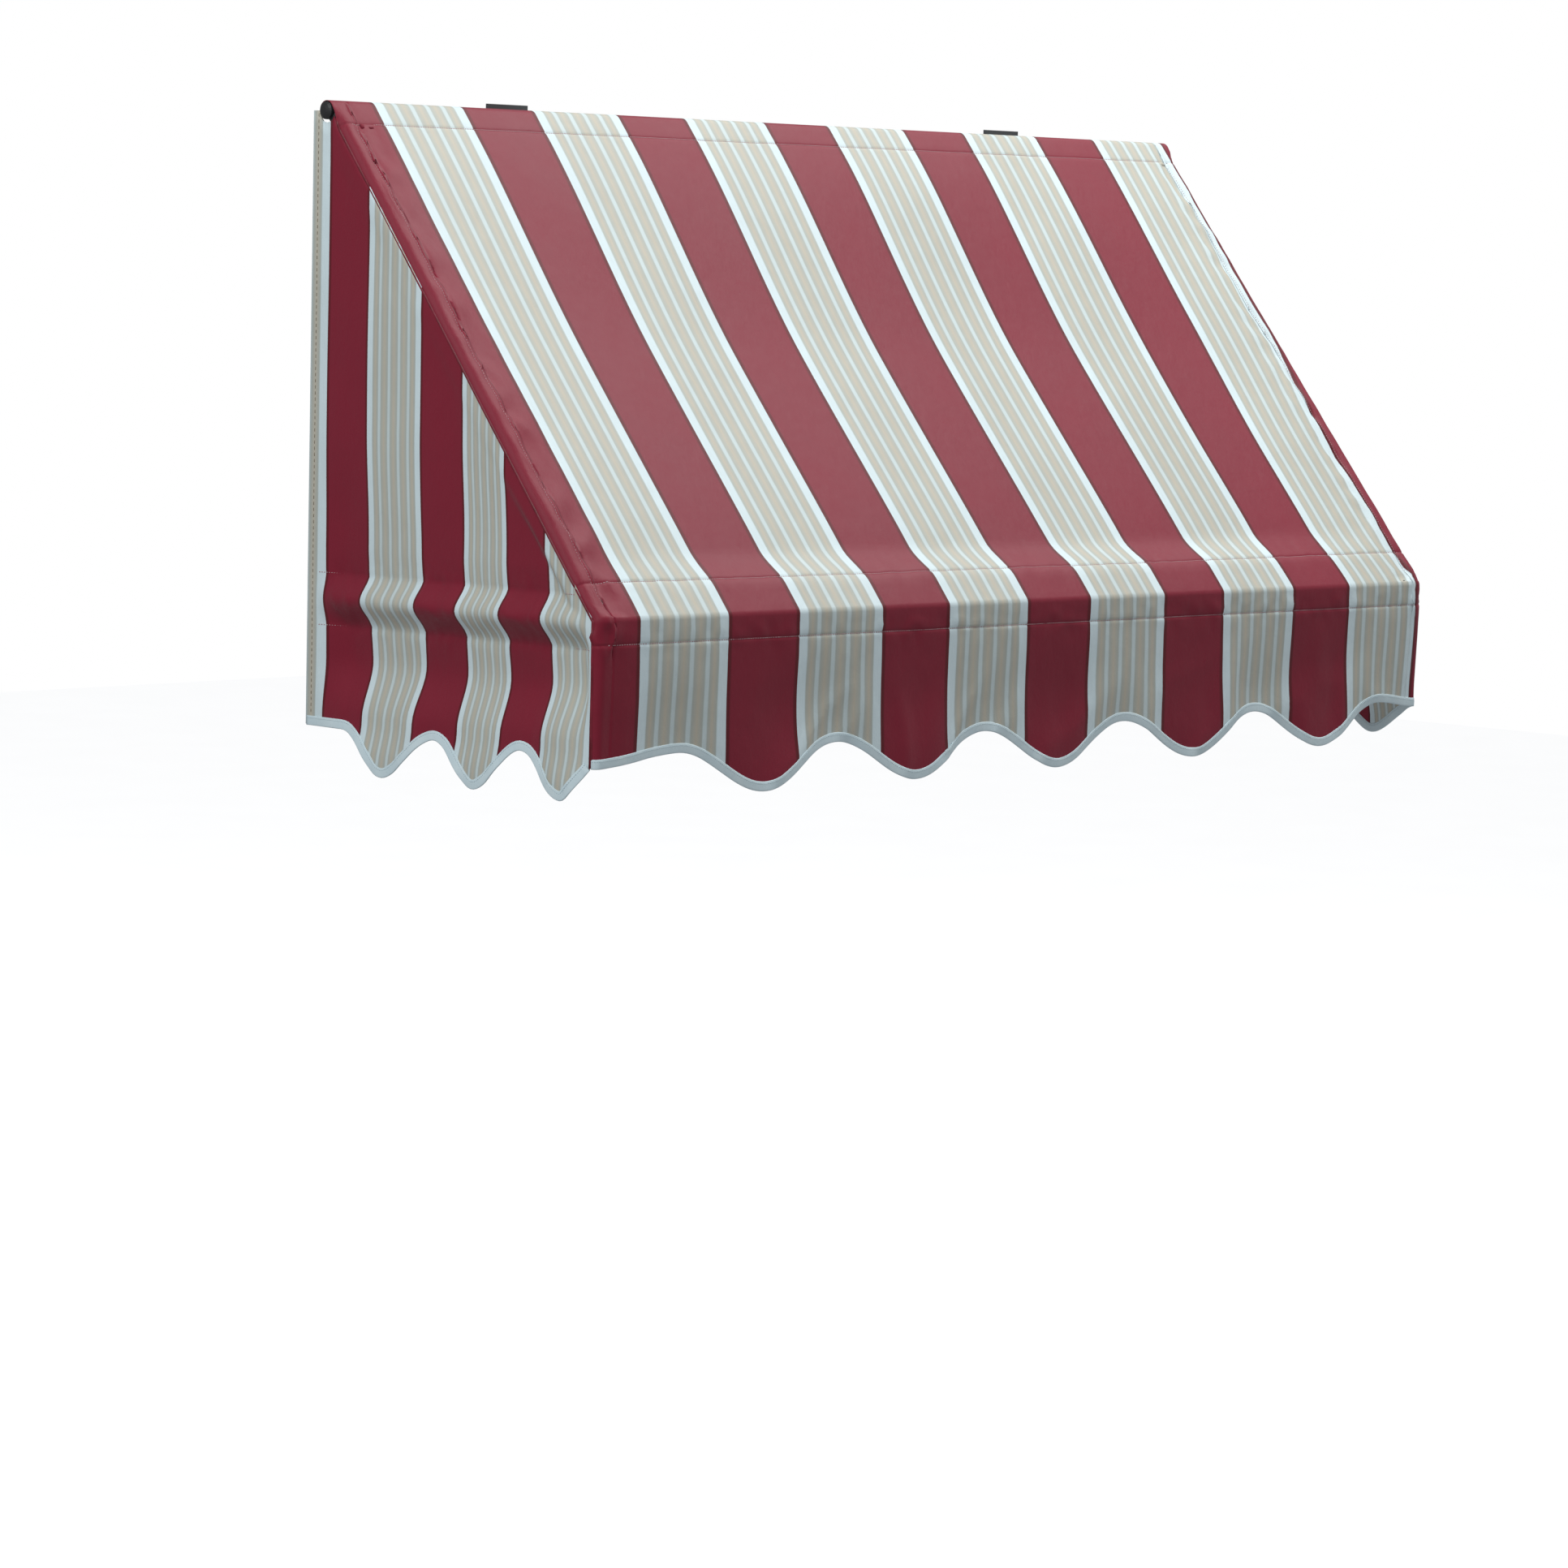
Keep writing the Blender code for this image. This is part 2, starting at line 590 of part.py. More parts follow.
def build_canopy():
    """Roof, front valance and the pocket folded round the top bar, in one cloth."""
    section = canopy_rows()
    columns = front_columns()
    valance_rows = 2
    pocket_rows = 7

    def point(column, row):
        x = columns[column]
        if row < len(section):
            y, z, run = section[row]
            spot = Vector((x, y, z))
            return spot - ROOF_NORMAL * roof_dip(x, run) if run is not None else spot
        share = (row - len(section) + 1) / valance_rows
        bottom = front_hem(x) + BINDING_HEIGHT + BINDING_GAP
        return Vector((x, VALANCE_Y, FRONT_Z + (bottom - FRONT_Z) * share))

    def keep(column, row):
        if row >= pocket_rows:
            return True
        low, high = columns[column], columns[column + 1]
        half = TOP_BRACKET_WIDTH / 2 + NOTCH_MARGIN
        over_bracket = any(low < side * TOP_BRACKET_X + half and
                           high > side * TOP_BRACKET_X - half for _, side in SIDES)
        over_rafter = max(abs(low), abs(high)) > ARM_X - RAFTER_CLEARANCE
        return not (over_bracket or over_rafter)

    sheet("canopy_cloth", len(columns) - 1, len(section) + valance_rows - 1, point, CLOTH,
          RED_CLOTH, keep)


def side_panel_top(y):
    """Upper edge of a side panel: round the top bar's end, then under the roof cloth."""
    if y > TOP_Y - PANEL_CLEARANCE:
        inside = PANEL_CLEARANCE ** 2 - (y - TOP_Y) ** 2
        return -math.sqrt(inside) if inside > 0 else 0.0
    reach = CLOTH_INNER - SEAM_GAP
    edge_y = FRONT_Y + ROOF_NORMAL.y * reach
    if y < edge_y:
        return FRONT_Z + math.sqrt(max(0.0, reach ** 2 - (y - FRONT_Y) ** 2))
    return (reach - ROOF_NORMAL.y * (y - TOP_Y)) / ROOF_NORMAL.z


def side_stations():
    """Distances from the wall where the side panel's grid has a column."""
    near_bar = [0.002, 0.0135, 0.016, 0.020, 0.030, 0.040, 0.044, 0.0465]
    front = -VALANCE_Y - BINDING_THICKNESS / 2 - SEAM_GAP
    count = 22
    spread = [0.0465 + (front - 0.004 - 0.0465) * i / count for i in range(1, count + 1)]
    return near_bar + spread + [front]


def build_side_panels():
    stations = side_stations()
    rows = 2
    for label, side in SIDES:
        def point(column, row, side=side, label=label):
            distance = stations[column]
            top = side_panel_top(-distance)
            bottom = side_hem(distance, label) + BINDING_HEIGHT + BINDING_GAP
            height = bottom + (top - bottom) * row / rows
            return Vector((side * SIDE_MIDDLE_X, -distance, height))

        sheet("side_panel_" + label, len(stations) - 1, rows, point, CLOTH, RED_CLOTH)


def build_bindings():
    """The pale tape folded over each scalloped hem."""
    columns = front_columns()

    def front_point(column, row):
        x = columns[column]
        return Vector((x, VALANCE_Y, front_hem(x) + BINDING_HEIGHT * row))

    sheet("valance_binding_front", len(columns) - 1, 1, front_point, BINDING_THICKNESS,
          BINDING)
    stations = side_stations()[:-1]
    for label, side in SIDES:
        def side_point(column, row, side=side, label=label):
            distance = stations[column]
            return Vector((side * SIDE_MIDDLE_X, -distance,
                           side_hem(distance, label) + BINDING_HEIGHT * row))

        sheet("valance_binding_" + label, len(stations) - 1, 1, side_point,
              BINDING_THICKNESS, BINDING)


def pocket_section(centre, start, end, side):
    """A strip from start, round the far side of a tube, to end, all in one plane."""
    first = tangent_angle(centre, CLOTH_MIDDLE, start, -side)
    last = tangent_angle(centre, CLOTH_MIDDLE, end, side)
    if side * (first - last) < 0:
        last -= side * 360
    return [start, *arc_points(centre, CLOTH_MIDDLE, first, last, 6), end]


def build_front_pocket():
    """The strip sewn inside the cloth that holds the front bar."""
    inside = CLOTH_INNER - SEAM_GAP - CLOTH / 2
    upper = (Vector((0, FRONT_Y, FRONT_Z)) - DOWN_SLOPE * FRONT_POCKET_UP
             + ROOF_NORMAL * inside)
    lower = (FRONT_Y - inside, FRONT_Z - FRONT_POCKET_DOWN)
    section = pocket_section((FRONT_Y, FRONT_Z), (upper.y, upper.z), lower, 1)
    half = ARM_X - POCKET_END
    columns = 6

    def point(column, row):
        x = -half + 2 * half * column / columns
        return Vector((x, *section[row]))

    sheet("front_bar_pocket", columns, len(section) - 1, point, CLOTH, LINING)


def build_arm_pockets():
    """The strips sewn inside the side panels that hold the side arms."""
    inside = SIDE_INNER_X - SEAM_GAP - CLOTH / 2
    near, far = -ARM_POCKET_WALL_END, FRONT_Y + POCKET_END
    section = pocket_section((ARM_X, FRONT_Z), (inside, FRONT_Z + ARM_POCKET_HALF),
                             (inside, FRONT_Z - ARM_POCKET_HALF), -1)
    columns = 3
    for label, side in SIDES:
        def point(column, row, side=side):
            across, height = section[row]
            return Vector((side * across, near + (far - near) * column / columns, height))

        sheet("arm_pocket_" + label, columns, len(section) - 1, point, CLOTH, LINING)


# ---------------------------------------------------------------- build
frame_tubes = build_tubes()
build_connectors(frame_tubes)
build_top_brackets(frame_tubes)
build_lower_brackets(frame_tubes)
build_canopy()
build_side_panels()
build_bindings()
build_front_pocket()
build_arm_pockets()
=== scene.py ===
"""The looks of a window awning: striped cloth on a fixed, wedge-shaped frame of round tube.

The row frame has X along the wall, Y = 0 on the wall with the front towards -Y, and Z = 0 at
the axis of the top bar. Units are metres.
"""

import math
from collections import namedtuple

import bpy
from mathutils import Matrix, Vector, noise


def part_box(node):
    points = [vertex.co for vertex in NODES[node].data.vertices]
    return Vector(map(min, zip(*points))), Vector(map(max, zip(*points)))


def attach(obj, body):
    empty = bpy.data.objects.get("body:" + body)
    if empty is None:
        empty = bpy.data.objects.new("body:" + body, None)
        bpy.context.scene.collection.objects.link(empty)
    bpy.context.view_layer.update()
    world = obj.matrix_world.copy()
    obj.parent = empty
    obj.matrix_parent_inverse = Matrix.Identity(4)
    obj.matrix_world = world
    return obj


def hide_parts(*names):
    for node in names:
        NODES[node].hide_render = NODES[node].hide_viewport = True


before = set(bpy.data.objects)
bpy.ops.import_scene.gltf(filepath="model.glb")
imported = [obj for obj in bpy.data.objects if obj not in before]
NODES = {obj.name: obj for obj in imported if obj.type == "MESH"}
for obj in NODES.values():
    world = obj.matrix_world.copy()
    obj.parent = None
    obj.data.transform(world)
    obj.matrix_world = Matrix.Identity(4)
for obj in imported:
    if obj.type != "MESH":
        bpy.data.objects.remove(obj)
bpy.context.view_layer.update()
SIDES = (("left", -1), ("right", 1))


# ---------------------------------------------------------------- places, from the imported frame
def middle_of(node):
    low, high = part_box(node)
    return (low + high) / 2


TOP = middle_of("top_bar")
FRONT = middle_of("front_bar")
ARM_X = middle_of("side_arm_right").x
HALF_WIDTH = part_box("canopy_cloth")[1].x
HEM_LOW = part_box("valance_binding_front")[0].z

DOWN_SLOPE = (FRONT - TOP).normalized()
ROOF_NORMAL = Vector((0, DOWN_SLOPE.z, -DOWN_SLOPE.y))
ROOF_RUN = (FRONT - TOP).length
OUTWARD = Vector((0, -1, 0))

# ---------------------------------------------------------------- cloth
CLOTH = 0.0008               # thickness of the cloth
REACH = 0.0138               # from a tube's axis to the middle of the cloth over it
LAYER = 0.0011               # between the middles of two cloths sewn together
WRAP = math.radians(80)      # how far the canopy's edge turns round a rafter
SIDE_X = ARM_X + REACH - 0.0006

STRIPE_PITCH = 0.307         # one pale and one red stripe on the canopy
PALE_STRIPE = 0.167
PALE_SHARE = PALE_STRIPE / STRIPE_PITCH
FIRST_PALE = 0.080 - HALF_WIDTH
FRONT_PALE_STRIPES = 6
SCALLOP_DEPTH = 0.060
HEM_HIGH = HEM_LOW + SCALLOP_DEPTH

# Distances from the wall where the side cloth changes colour, with the stripe phase there:
# a whole number where a pale stripe starts, and PALE_SHARE more where it ends.
SIDE_STRIPES = (
    (0.000, PALE_SHARE - 0.124), (0.038, PALE_SHARE), (0.122, 1), (0.233, 1 + PALE_SHARE),
    (0.320, 2), (0.405, 2 + PALE_SHARE), (0.490, 3), (0.582, 3 + PALE_SHARE), (0.610, 3.62),
)
# How low each side's hem is, by distance from the wall: 0 at its highest, 1 at its lowest.
SIDE_HEMS = {
    -1: ((0.0, 0.0), (0.080, 0.0), (0.178, 1.0), (0.277, 0.0), (0.363, 1.0), (0.448, 0.0),
         (0.541, 1.0), (0.597, 0.15)),
    1: ((0.0, 0.2), (0.035, 0.0), (0.128, 1.0), (0.222, 0.0), (0.313, 1.0), (0.403, 0.0),
        (0.492, 1.0), (0.597, 0.15)),
}
SIDE_SEEDS = {-1: 20, 1: 40}  # each side's folds
SIDE_FRONT = 0.0030 - FRONT.y  # distance from the wall to a side cloth's front edge

TOP_STITCH = 0.034           # top bar axis to the stitching of its pocket, down the slope
FRONT_STITCH_UP = ROOF_RUN - 0.055
FRONT_STITCH_DOWN = 0.030
ARM_STITCH_UP = 0.036        # side arm axis to the stitching above it, and below it
ARM_STITCH_DOWN = 0.038
EDGE_STITCH = 0.011          # rafter axis to the stitching beside it, inwards
POCKET_END = 0.085

BINDING_HEIGHT = 0.0125


def ease(value):
    """0 below 0, 1 above 1, and a smooth step between."""
    value = min(1.0, max(0.0, value))
    return value * value * (3 - 2 * value)


def bell(offset, width):
    return math.exp(-(offset / width) ** 2)


def wander(a, b, seed=0.0):
    """Smooth noise from -1 to 1 over a plane; each seed is a different plane."""
    return noise.noise(Vector((a, b, seed * 7.31 + 0.5)))


def crease(a, b, seed=0.0):
    """Narrow ridges, from 0 to 1, along the lines where the noise changes sign."""
    return (1 - min(1.0, abs(wander(a, b, seed)) * 2.2)) ** 2


def through(stations, place):
    """The value at a place, going smoothly through (place, value) stations."""
    for (a, value_a), (b, value_b) in zip(stations, stations[1:]):
        if place <= b:
            return value_a + (value_b - value_a) * ease((place - a) / (b - a))
    return stations[-1][1]


def straight_through(stations, place):
    """The same in straight lines, going on past both ends."""
    pair = stations[:2]
    for index in range(len(stations) - 1):
        if place >= stations[index][0]:
            pair = stations[index:index + 2]
    (a, value_a), (b, value_b) = pair
    return value_a + (value_b - value_a) * (place - a) / (b - a)


def spaced(start, end, step, spots=()):
    """Places from start to end about a step apart, with finer ones round each spot."""
    fine = [spot + offset for spot in spots
            for offset in (-0.0045, -0.0026, -0.0012, 0, 0.0012, 0.0026, 0.0045)]
    fine = [place for place in fine if start < place < end]
    count = max(1, round((end - start) / step))
    coarse = [start + (end - start) * i / count for i in range(1, count)]
    coarse = [p for p in coarse if all(abs(p - place) > 0.0025 for place in fine)]
    return [start, *sorted(fine + coarse), end]


# ---------------------------------------------------------------- camera and light
def point_at(thing, spot, target):
    thing.location = spot
    thing.rotation_mode = "QUATERNION"
    direction = Vector(target) - Vector(spot)
    thing.rotation_quaternion = direction.to_track_quat("-Z", "Y")


def add_camera():
    """Far to the left of the front and a little below the top bar, looking slightly down."""
    yaw, pitch, roll = math.radians(45.8), math.radians(-5.8), math.radians(1.33)
    forward = Vector((math.sin(yaw) * math.cos(pitch), math.cos(yaw) * math.cos(pitch),
                      math.sin(pitch)))
    level = Vector((math.cos(yaw), -math.sin(yaw), 0))
    upright = level.cross(forward)
    right = level * math.cos(roll) + upright * math.sin(roll)
    up = upright * math.cos(roll) - level * math.sin(roll)
    data = bpy.data.cameras.new("camera")
    data.sensor_width = 36.0
    data.lens = 116.9
    data.clip_end = 100.0
    camera = bpy.data.objects.new("camera", data)
    bpy.context.scene.collection.objects.link(camera)
    rotation = Matrix((right, up, -forward)).transposed()
    camera.matrix_world = Matrix.Translation((-5.568, -5.487, -0.202)) @ rotation.to_4x4()
    bpy.context.scene.camera = camera


def add_area_light(name, spot, size, power, colour=(1, 1, 1)):
    data = bpy.data.lights.new(name, "AREA")
    data.shape = "DISK"
    data.size = size
    data.energy = power
    data.color = colour
    light = bpy.data.objects.new(name, data)
    light.visible_camera = False
    bpy.context.scene.collection.objects.link(light)
    point_at(light, spot, (0, -0.3, -0.4))


def add_studio():
    add_area_light("key_above_right", (2.3, -1.0, 3.6), 2.4, 172, (1.0, 0.99, 0.97))
    add_area_light("fill_left", (-3.6, -1.3, 2.4), 2.2, 84, (0.97, 0.99, 1.0))
    world = bpy.data.worlds.new("studio")
    world.use_nodes = True
    nodes, links = world.node_tree.nodes, world.node_tree.links
    nodes.clear()
    output = nodes.new("ShaderNodeOutputWorld")
    soft = nodes.new("ShaderNodeBackground")
    soft.inputs["Color"].default_value = (0.95, 0.97, 1.0, 1)
    soft.inputs["Strength"].default_value = 0.30
    white = nodes.new("ShaderNodeBackground")
    white.inputs["Color"].default_value = (1, 1, 1, 1)
    seen = nodes.new("ShaderNodeLightPath")
    mix = nodes.new("ShaderNodeMixShader")
    links.new(seen.outputs["Is Camera Ray"], mix.inputs[0])
    links.new(soft.outputs[0], mix.inputs[1])
    links.new(white.outputs[0], mix.inputs[2])
    links.new(mix.outputs[0], output.inputs["Surface"])
    bpy.context.scene.world = world
    bpy.context.scene.view_settings.view_transform = "Standard"
    bpy.context.scene.view_settings.look = "None"


def add_floor():
    size, height = 14.0, -2.3
    mesh = bpy.data.meshes.new("floor")
    corners = [(-size, -size), (size, -size), (size, size), (-size, size)]
    mesh.from_pydata([(x, y, height) for x, y in corners], [], [(0, 1, 2, 3)])
    floor = bpy.data.objects.new("floor", mesh)
    bpy.context.scene.collection.objects.link(floor)
    graph = Graph("floor")
    speckle = graph.noise(graph.place("Object"), 3.0, 3)
    graph.colour(graph.ramp(speckle, ((0.3, (0.90, 0.90, 0.90)), (0.7, (0.94, 0.94, 0.94)))))
    graph.level("Roughness", 0.8)
    graph.level("Emission Color", (1, 1, 1, 1))
    graph.level("Emission Strength", 0.70)
    mesh.materials.append(graph.material)
    floor.visible_diffuse = False
    floor.visible_glossy = False


# ---------------------------------------------------------------- materials
class Graph:
    """A material's nodes, with a short call for each kind that is used."""

    def __init__(self, name):
        self.material = bpy.data.materials.new(name)
        self.material.use_nodes = True
        self.tree = self.material.node_tree
        self.shader = self.tree.nodes["Principled BSDF"]

    def node(self, kind, settings=(), **inputs):
        made = self.tree.nodes.new("ShaderNode" + kind)
        for name, value in settings:
            setattr(made, name, value)
        for name, value in inputs.items():
            self.feed(made.inputs[name.replace("_", " ")], value)
        return made

    def feed(self, socket, value):
        if isinstance(value, bpy.types.NodeSocket):
            self.tree.links.new(value, socket)
        else:
            socket.default_value = value

    def math(self, operation, a, b=0.0, c=0.0, clamp=False):
        made = self.node("Math", (("operation", operation), ("use_clamp", clamp)))
        for socket, value in zip(made.inputs, (a, b, c)):
            self.feed(socket, value)
        return made.outputs[0]

    def uv(self, layer):
        return self.node("UVMap", (("uv_map", layer),)).outputs[0]

    def place(self, kind):
        return self.node("TexCoord").outputs[kind]

    def split(self, vector):
        return self.node("SeparateXYZ", Vector=vector).outputs

    def stretched(self, vector, scale):
        made = self.node("Mapping", (), Vector=vector)
        made.inputs["Scale"].default_value = scale
        return made.outputs[0]

    def noise(self, vector, scale, detail=2.0, roughness=0.5):
        return self.node("TexNoise", (), Vector=vector, Scale=scale, Detail=detail,
                         Roughness=roughness).outputs[0]

    def ramp(self, value, stops):
        made = self.node("ValToRGB")
        self.feed(made.inputs[0], value)
        elements = made.color_ramp.elements
        while len(elements) < len(stops):
            elements.new(1.0)
        for element, (position, colour) in zip(elements, stops):
            element.position = position
            element.color = (*colour, 1)
        return made.outputs[0]

    def blend(self, factor, a, b, kind="MIX"):
        made = self.node("Mix", (("data_type", "RGBA"), ("blend_type", kind)))
        for socket, value in ((made.inputs[0], factor), (made.inputs[6], a),
                              (made.inputs[7], b)):
            self.feed(socket, value)
        return made.outputs[2]

    def bump(self, height, depth, strength=1.0, below=None):
        made = self.node("Bump", (), Height=height, Distance=depth, Strength=strength)
        if below:
            self.feed(made.inputs["Normal"], below)
        return made.outputs[0]

    def colour(self, value):
        self.feed(self.shader.inputs["Base Color"], value)

    def roughness(self, value):
        self.feed(self.shader.inputs["Roughness"], value)

    def normal(self, value):
        self.feed(self.shader.inputs["Normal"], value)

    def level(self, name, value):
        self.shader.inputs[name].default_value = value


RED = (0.250, 0.008, 0.030)
RED_EDGE = (0.130, 0.003, 0.010)
BORDER = (0.76, 0.90, 0.94)
LINE = (0.68, 0.79, 0.80)
BAND_COOL = (0.50, 0.54, 0.50)
BAND_WARM = (0.62, 0.575, 0.47)
PALE_LINES = (0.23, 0.41, 0.59, 0.77)
PALE_BORDER = 0.10
LINE_HALF = 0.024
THREAD_PITCH = 0.0012


def pale_stops():
    """The colours across a pale stripe: borders, four thin lines and the bands between."""
    soft = 0.007
    edges = [PALE_BORDER]
    for line in PALE_LINES:
        edges += [line - LINE_HALF, line + LINE_HALF]
    edges.append(1 - PALE_BORDER)
    stops = [(0.0, BORDER)]
    for start, end in zip(edges[::2], edges[1::2]):
        edge_colour = BORDER if start == PALE_BORDER else LINE
        stops += [(start - soft, edge_colour), (start + soft, BAND_COOL),
                  ((start + end) / 2, BAND_WARM), (end - soft, BAND_COOL)]
        if end < 1 - PALE_BORDER:
            stops.append((end + soft, LINE))
    stops.append((1 - PALE_BORDER + soft, BORDER))
    return stops


def striped_cloth():
    """Woven, coated cloth. The UV layer "stripes" has the stripe phase, "cloth" metres."""
    graph = Graph("striped_cloth")
    phase = graph.math("FRACT", graph.split(graph.uv("stripes"))[0])
    metres = graph.uv("cloth")
    across, along, _ = graph.split(metres)

    pale = graph.ramp(graph.math("DIVIDE", phase, PALE_SHARE), pale_stops())
    from_red_edge = graph.math("MINIMUM", graph.math("SUBTRACT", phase, PALE_SHARE),
                               graph.math("SUBTRACT", 1.0, phase))
    red = graph.ramp(graph.math("MULTIPLY", from_red_edge, 20.0),
                     ((0.0, RED_EDGE), (0.32, RED_EDGE), (0.55, RED)))
    is_red = graph.math("MULTIPLY", graph.math("ADD", from_red_edge, 0.002), 250.0, clamp=True)
    dyed = graph.blend(is_red, pale, red)

    slub = graph.noise(graph.stretched(metres, (1400, 30, 1)), 1.0, 2)
    cloudy = graph.noise(metres, 5.0, 4, 0.6)
    worn = graph.math("ADD", graph.math("MULTIPLY", slub, 0.16),
                      graph.math("MULTIPLY", cloudy, 0.22))
    shade = graph.math("ADD", worn, 0.81)
    graph.colour(graph.blend(1.0, dyed, shade, "MULTIPLY"))

    turn = 2 * math.pi / THREAD_PITCH
    warp = graph.math("SINE", graph.math("MULTIPLY", across, turn))
    weft = graph.math("SINE", graph.math("MULTIPLY", along, turn))
    weave = graph.bump(graph.math("MULTIPLY", warp, weft), 0.00012, 0.35)
    puckers = graph.noise(graph.stretched(metres, (1, 0.6, 1)), 42.0, 4, 0.55)
    graph.normal(graph.bump(puckers, 0.0022, 0.45, weave))
    graph.roughness(graph.math("ADD", graph.math("MULTIPLY", cloudy, 0.12), 0.50))
    graph.level("Specular IOR Level", 0.35)
    graph.level("Sheen Weight", 0.10)
    graph.level("Sheen Roughness", 0.45)
    return graph.material


def binding_tape():
    """Pale blue-white tape with a fine crosswise rib."""
    graph = Graph("binding_tape")
    metres = graph.uv("cloth")
    along, across, _ = graph.split(metres)
    cloudy = graph.noise(metres, 30.0, 3)
    graph.colour(graph.ramp(cloudy, ((0.25, (0.70, 0.86, 0.92)), (0.75, (0.80, 0.94, 0.98)))))
    rib = graph.math("SINE", graph.math("MULTIPLY", along, 2 * math.pi / 0.0009))
    ribs = graph.bump(rib, 0.0001, 0.4)
    puckers = graph.noise(graph.stretched(metres, (1, 0.3, 1)), 150.0, 2)
    graph.normal(graph.bump(puckers, 0.0007, 0.6, ribs))
    graph.roughness(graph.math("ADD", graph.math("MULTIPLY", cloudy, 0.2), 0.55))
    return graph.material


def thread(name, dark, light):
    """Twisted sewing thread between two shades."""
    graph = Graph(name)
    place = graph.place("Object")
    tone = graph.noise(place, 160.0, 2)
    graph.colour(graph.ramp(tone, ((0.3, dark), (0.7, light))))
    strands = graph.noise(place, 2600.0, 1)
    graph.normal(graph.bump(strands, 0.0002, 0.5))
    graph.roughness(graph.math("ADD", graph.math("MULTIPLY", tone, 0.2), 0.5))
    return graph.material


def powder_coat(name, colour, grain=900.0):
    """Baked paint with a fine orange peel, rubbed a little lighter in places."""
    graph = Graph(name)
    place = graph.place("Object")
    rubbed = graph.noise(place, 14.0, 5, 0.65)
    light = tuple(channel * 1.9 + 0.01 for channel in colour)
    graph.colour(graph.ramp(rubbed, ((0.35, colour), (0.62, colour), (0.80, light))))
    peel = graph.noise(place, grain, 2)
    graph.normal(graph.bump(peel, 0.0002, 0.5))
    graph.roughness(graph.math("ADD", graph.math("MULTIPLY", rubbed, 0.25), 0.30))
    return graph.material


def moulded_nylon():
    """Black plastic with a sparked grain."""
    graph = Graph("moulded_nylon")
    place = graph.place("Object")
    tone = graph.noise(place, 30.0, 3)
    graph.colour(graph.ramp(tone, ((0.3, (0.012, 0.012, 0.013)), (0.7, (0.024, 0.024, 0.026)))))
    grain = graph.noise(place, 1500.0, 3, 0.7)
    graph.normal(graph.bump(grain, 0.0002, 0.6))
    graph.roughness(graph.math("ADD", graph.math("MULTIPLY", tone, 0.15), 0.42))
    return graph.material


def zinc_plate():
    """Bright zinc with cloudy passivation."""
    graph = Graph("zinc_plate")
    place = graph.place("Object")
    tone = graph.noise(place, 220.0, 3)
    graph.colour(graph.ramp(tone, ((0.3, (0.50, 0.51, 0.50)), (0.7, (0.68, 0.69, 0.70)))))
    graph.level("Metallic", 1.0)
    scratches = graph.noise(graph.stretched(place, (1, 1, 12)), 700.0, 2)
    graph.normal(graph.bump(scratches, 0.0001, 0.4))
    graph.roughness(graph.math("ADD", graph.math("MULTIPLY", tone, 0.25), 0.22))
    return graph.material


STRIPES = striped_cloth()
TAPE = binding_tape()
SEAM_THREAD = thread("seam_thread", (0.42, 0.24, 0.26), (0.60, 0.42, 0.44))
TAPE_THREAD = thread("tape_thread", (0.50, 0.62, 0.66), (0.66, 0.78, 0.82))
HEM_THREAD = thread("hem_thread", (0.13, 0.10, 0.065), (0.24, 0.19, 0.13))


# ---------------------------------------------------------------- pieces
def add_piece(name, vertices, faces, material, uvs=None):
    """A smooth-shaded piece on the one body. uvs has, by layer, a pair for each vertex."""
    mesh = bpy.data.meshes.new(name)
    mesh.from_pydata(vertices, [], faces)
    for layer_name, pairs in (uvs or {}).items():
        layer = mesh.uv_layers.new(name=layer_name)
        for loop in mesh.loops:
            layer.data[loop.index].uv = pairs[loop.vertex_index]
    mesh.materials.append(material)
    mesh.shade_smooth()
    mesh.validate()
    piece = bpy.data.objects.new(name, mesh)
    bpy.context.scene.collection.objects.link(piece)
    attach(piece, "root")
    return piece


def thicken(piece, thickness):
    modifier = piece.modifiers.new("thickness", "SOLIDIFY")
    modifier.thickness = thickness
    modifier.offset = 0.0
    modifier.use_even_offset = False


def add_grid(name, columns, rows, point, uv, material=STRIPES,
             thickness=CLOTH, keep=None):
    """A thickened sheet: point(column, row) places a corner, uv gives its two UV pairs."""
    vertices, phases, metres = [], [], []
    for row in rows:
        for column in columns:
            vertices.append(point(column, row))
            phase, spot = uv(column, row)
            phases.append(phase)
            metres.append(spot)
    width = len(columns)
    faces = []
    for j in range(len(rows) - 1):
        for i in range(width - 1):
            if keep and not keep((columns[i], columns[i + 1]), (rows[j], rows[j + 1])):
                continue
            corner = j * width + i
            faces.append((corner, corner + 1, corner + width + 1, corner + width))
    used = sorted({index for face in faces for index in face})
    place = {old: new for new, old in enumerate(used)}
    faces = [tuple(place[index] for index in face) for face in faces]
    uvs = {"stripes": [phases[i] for i in used], "cloth": [metres[i] for i in used]}
    piece = add_piece(name, [vertices[i] for i in used], faces, material, uvs)
    thicken(piece, thickness)
    return piece


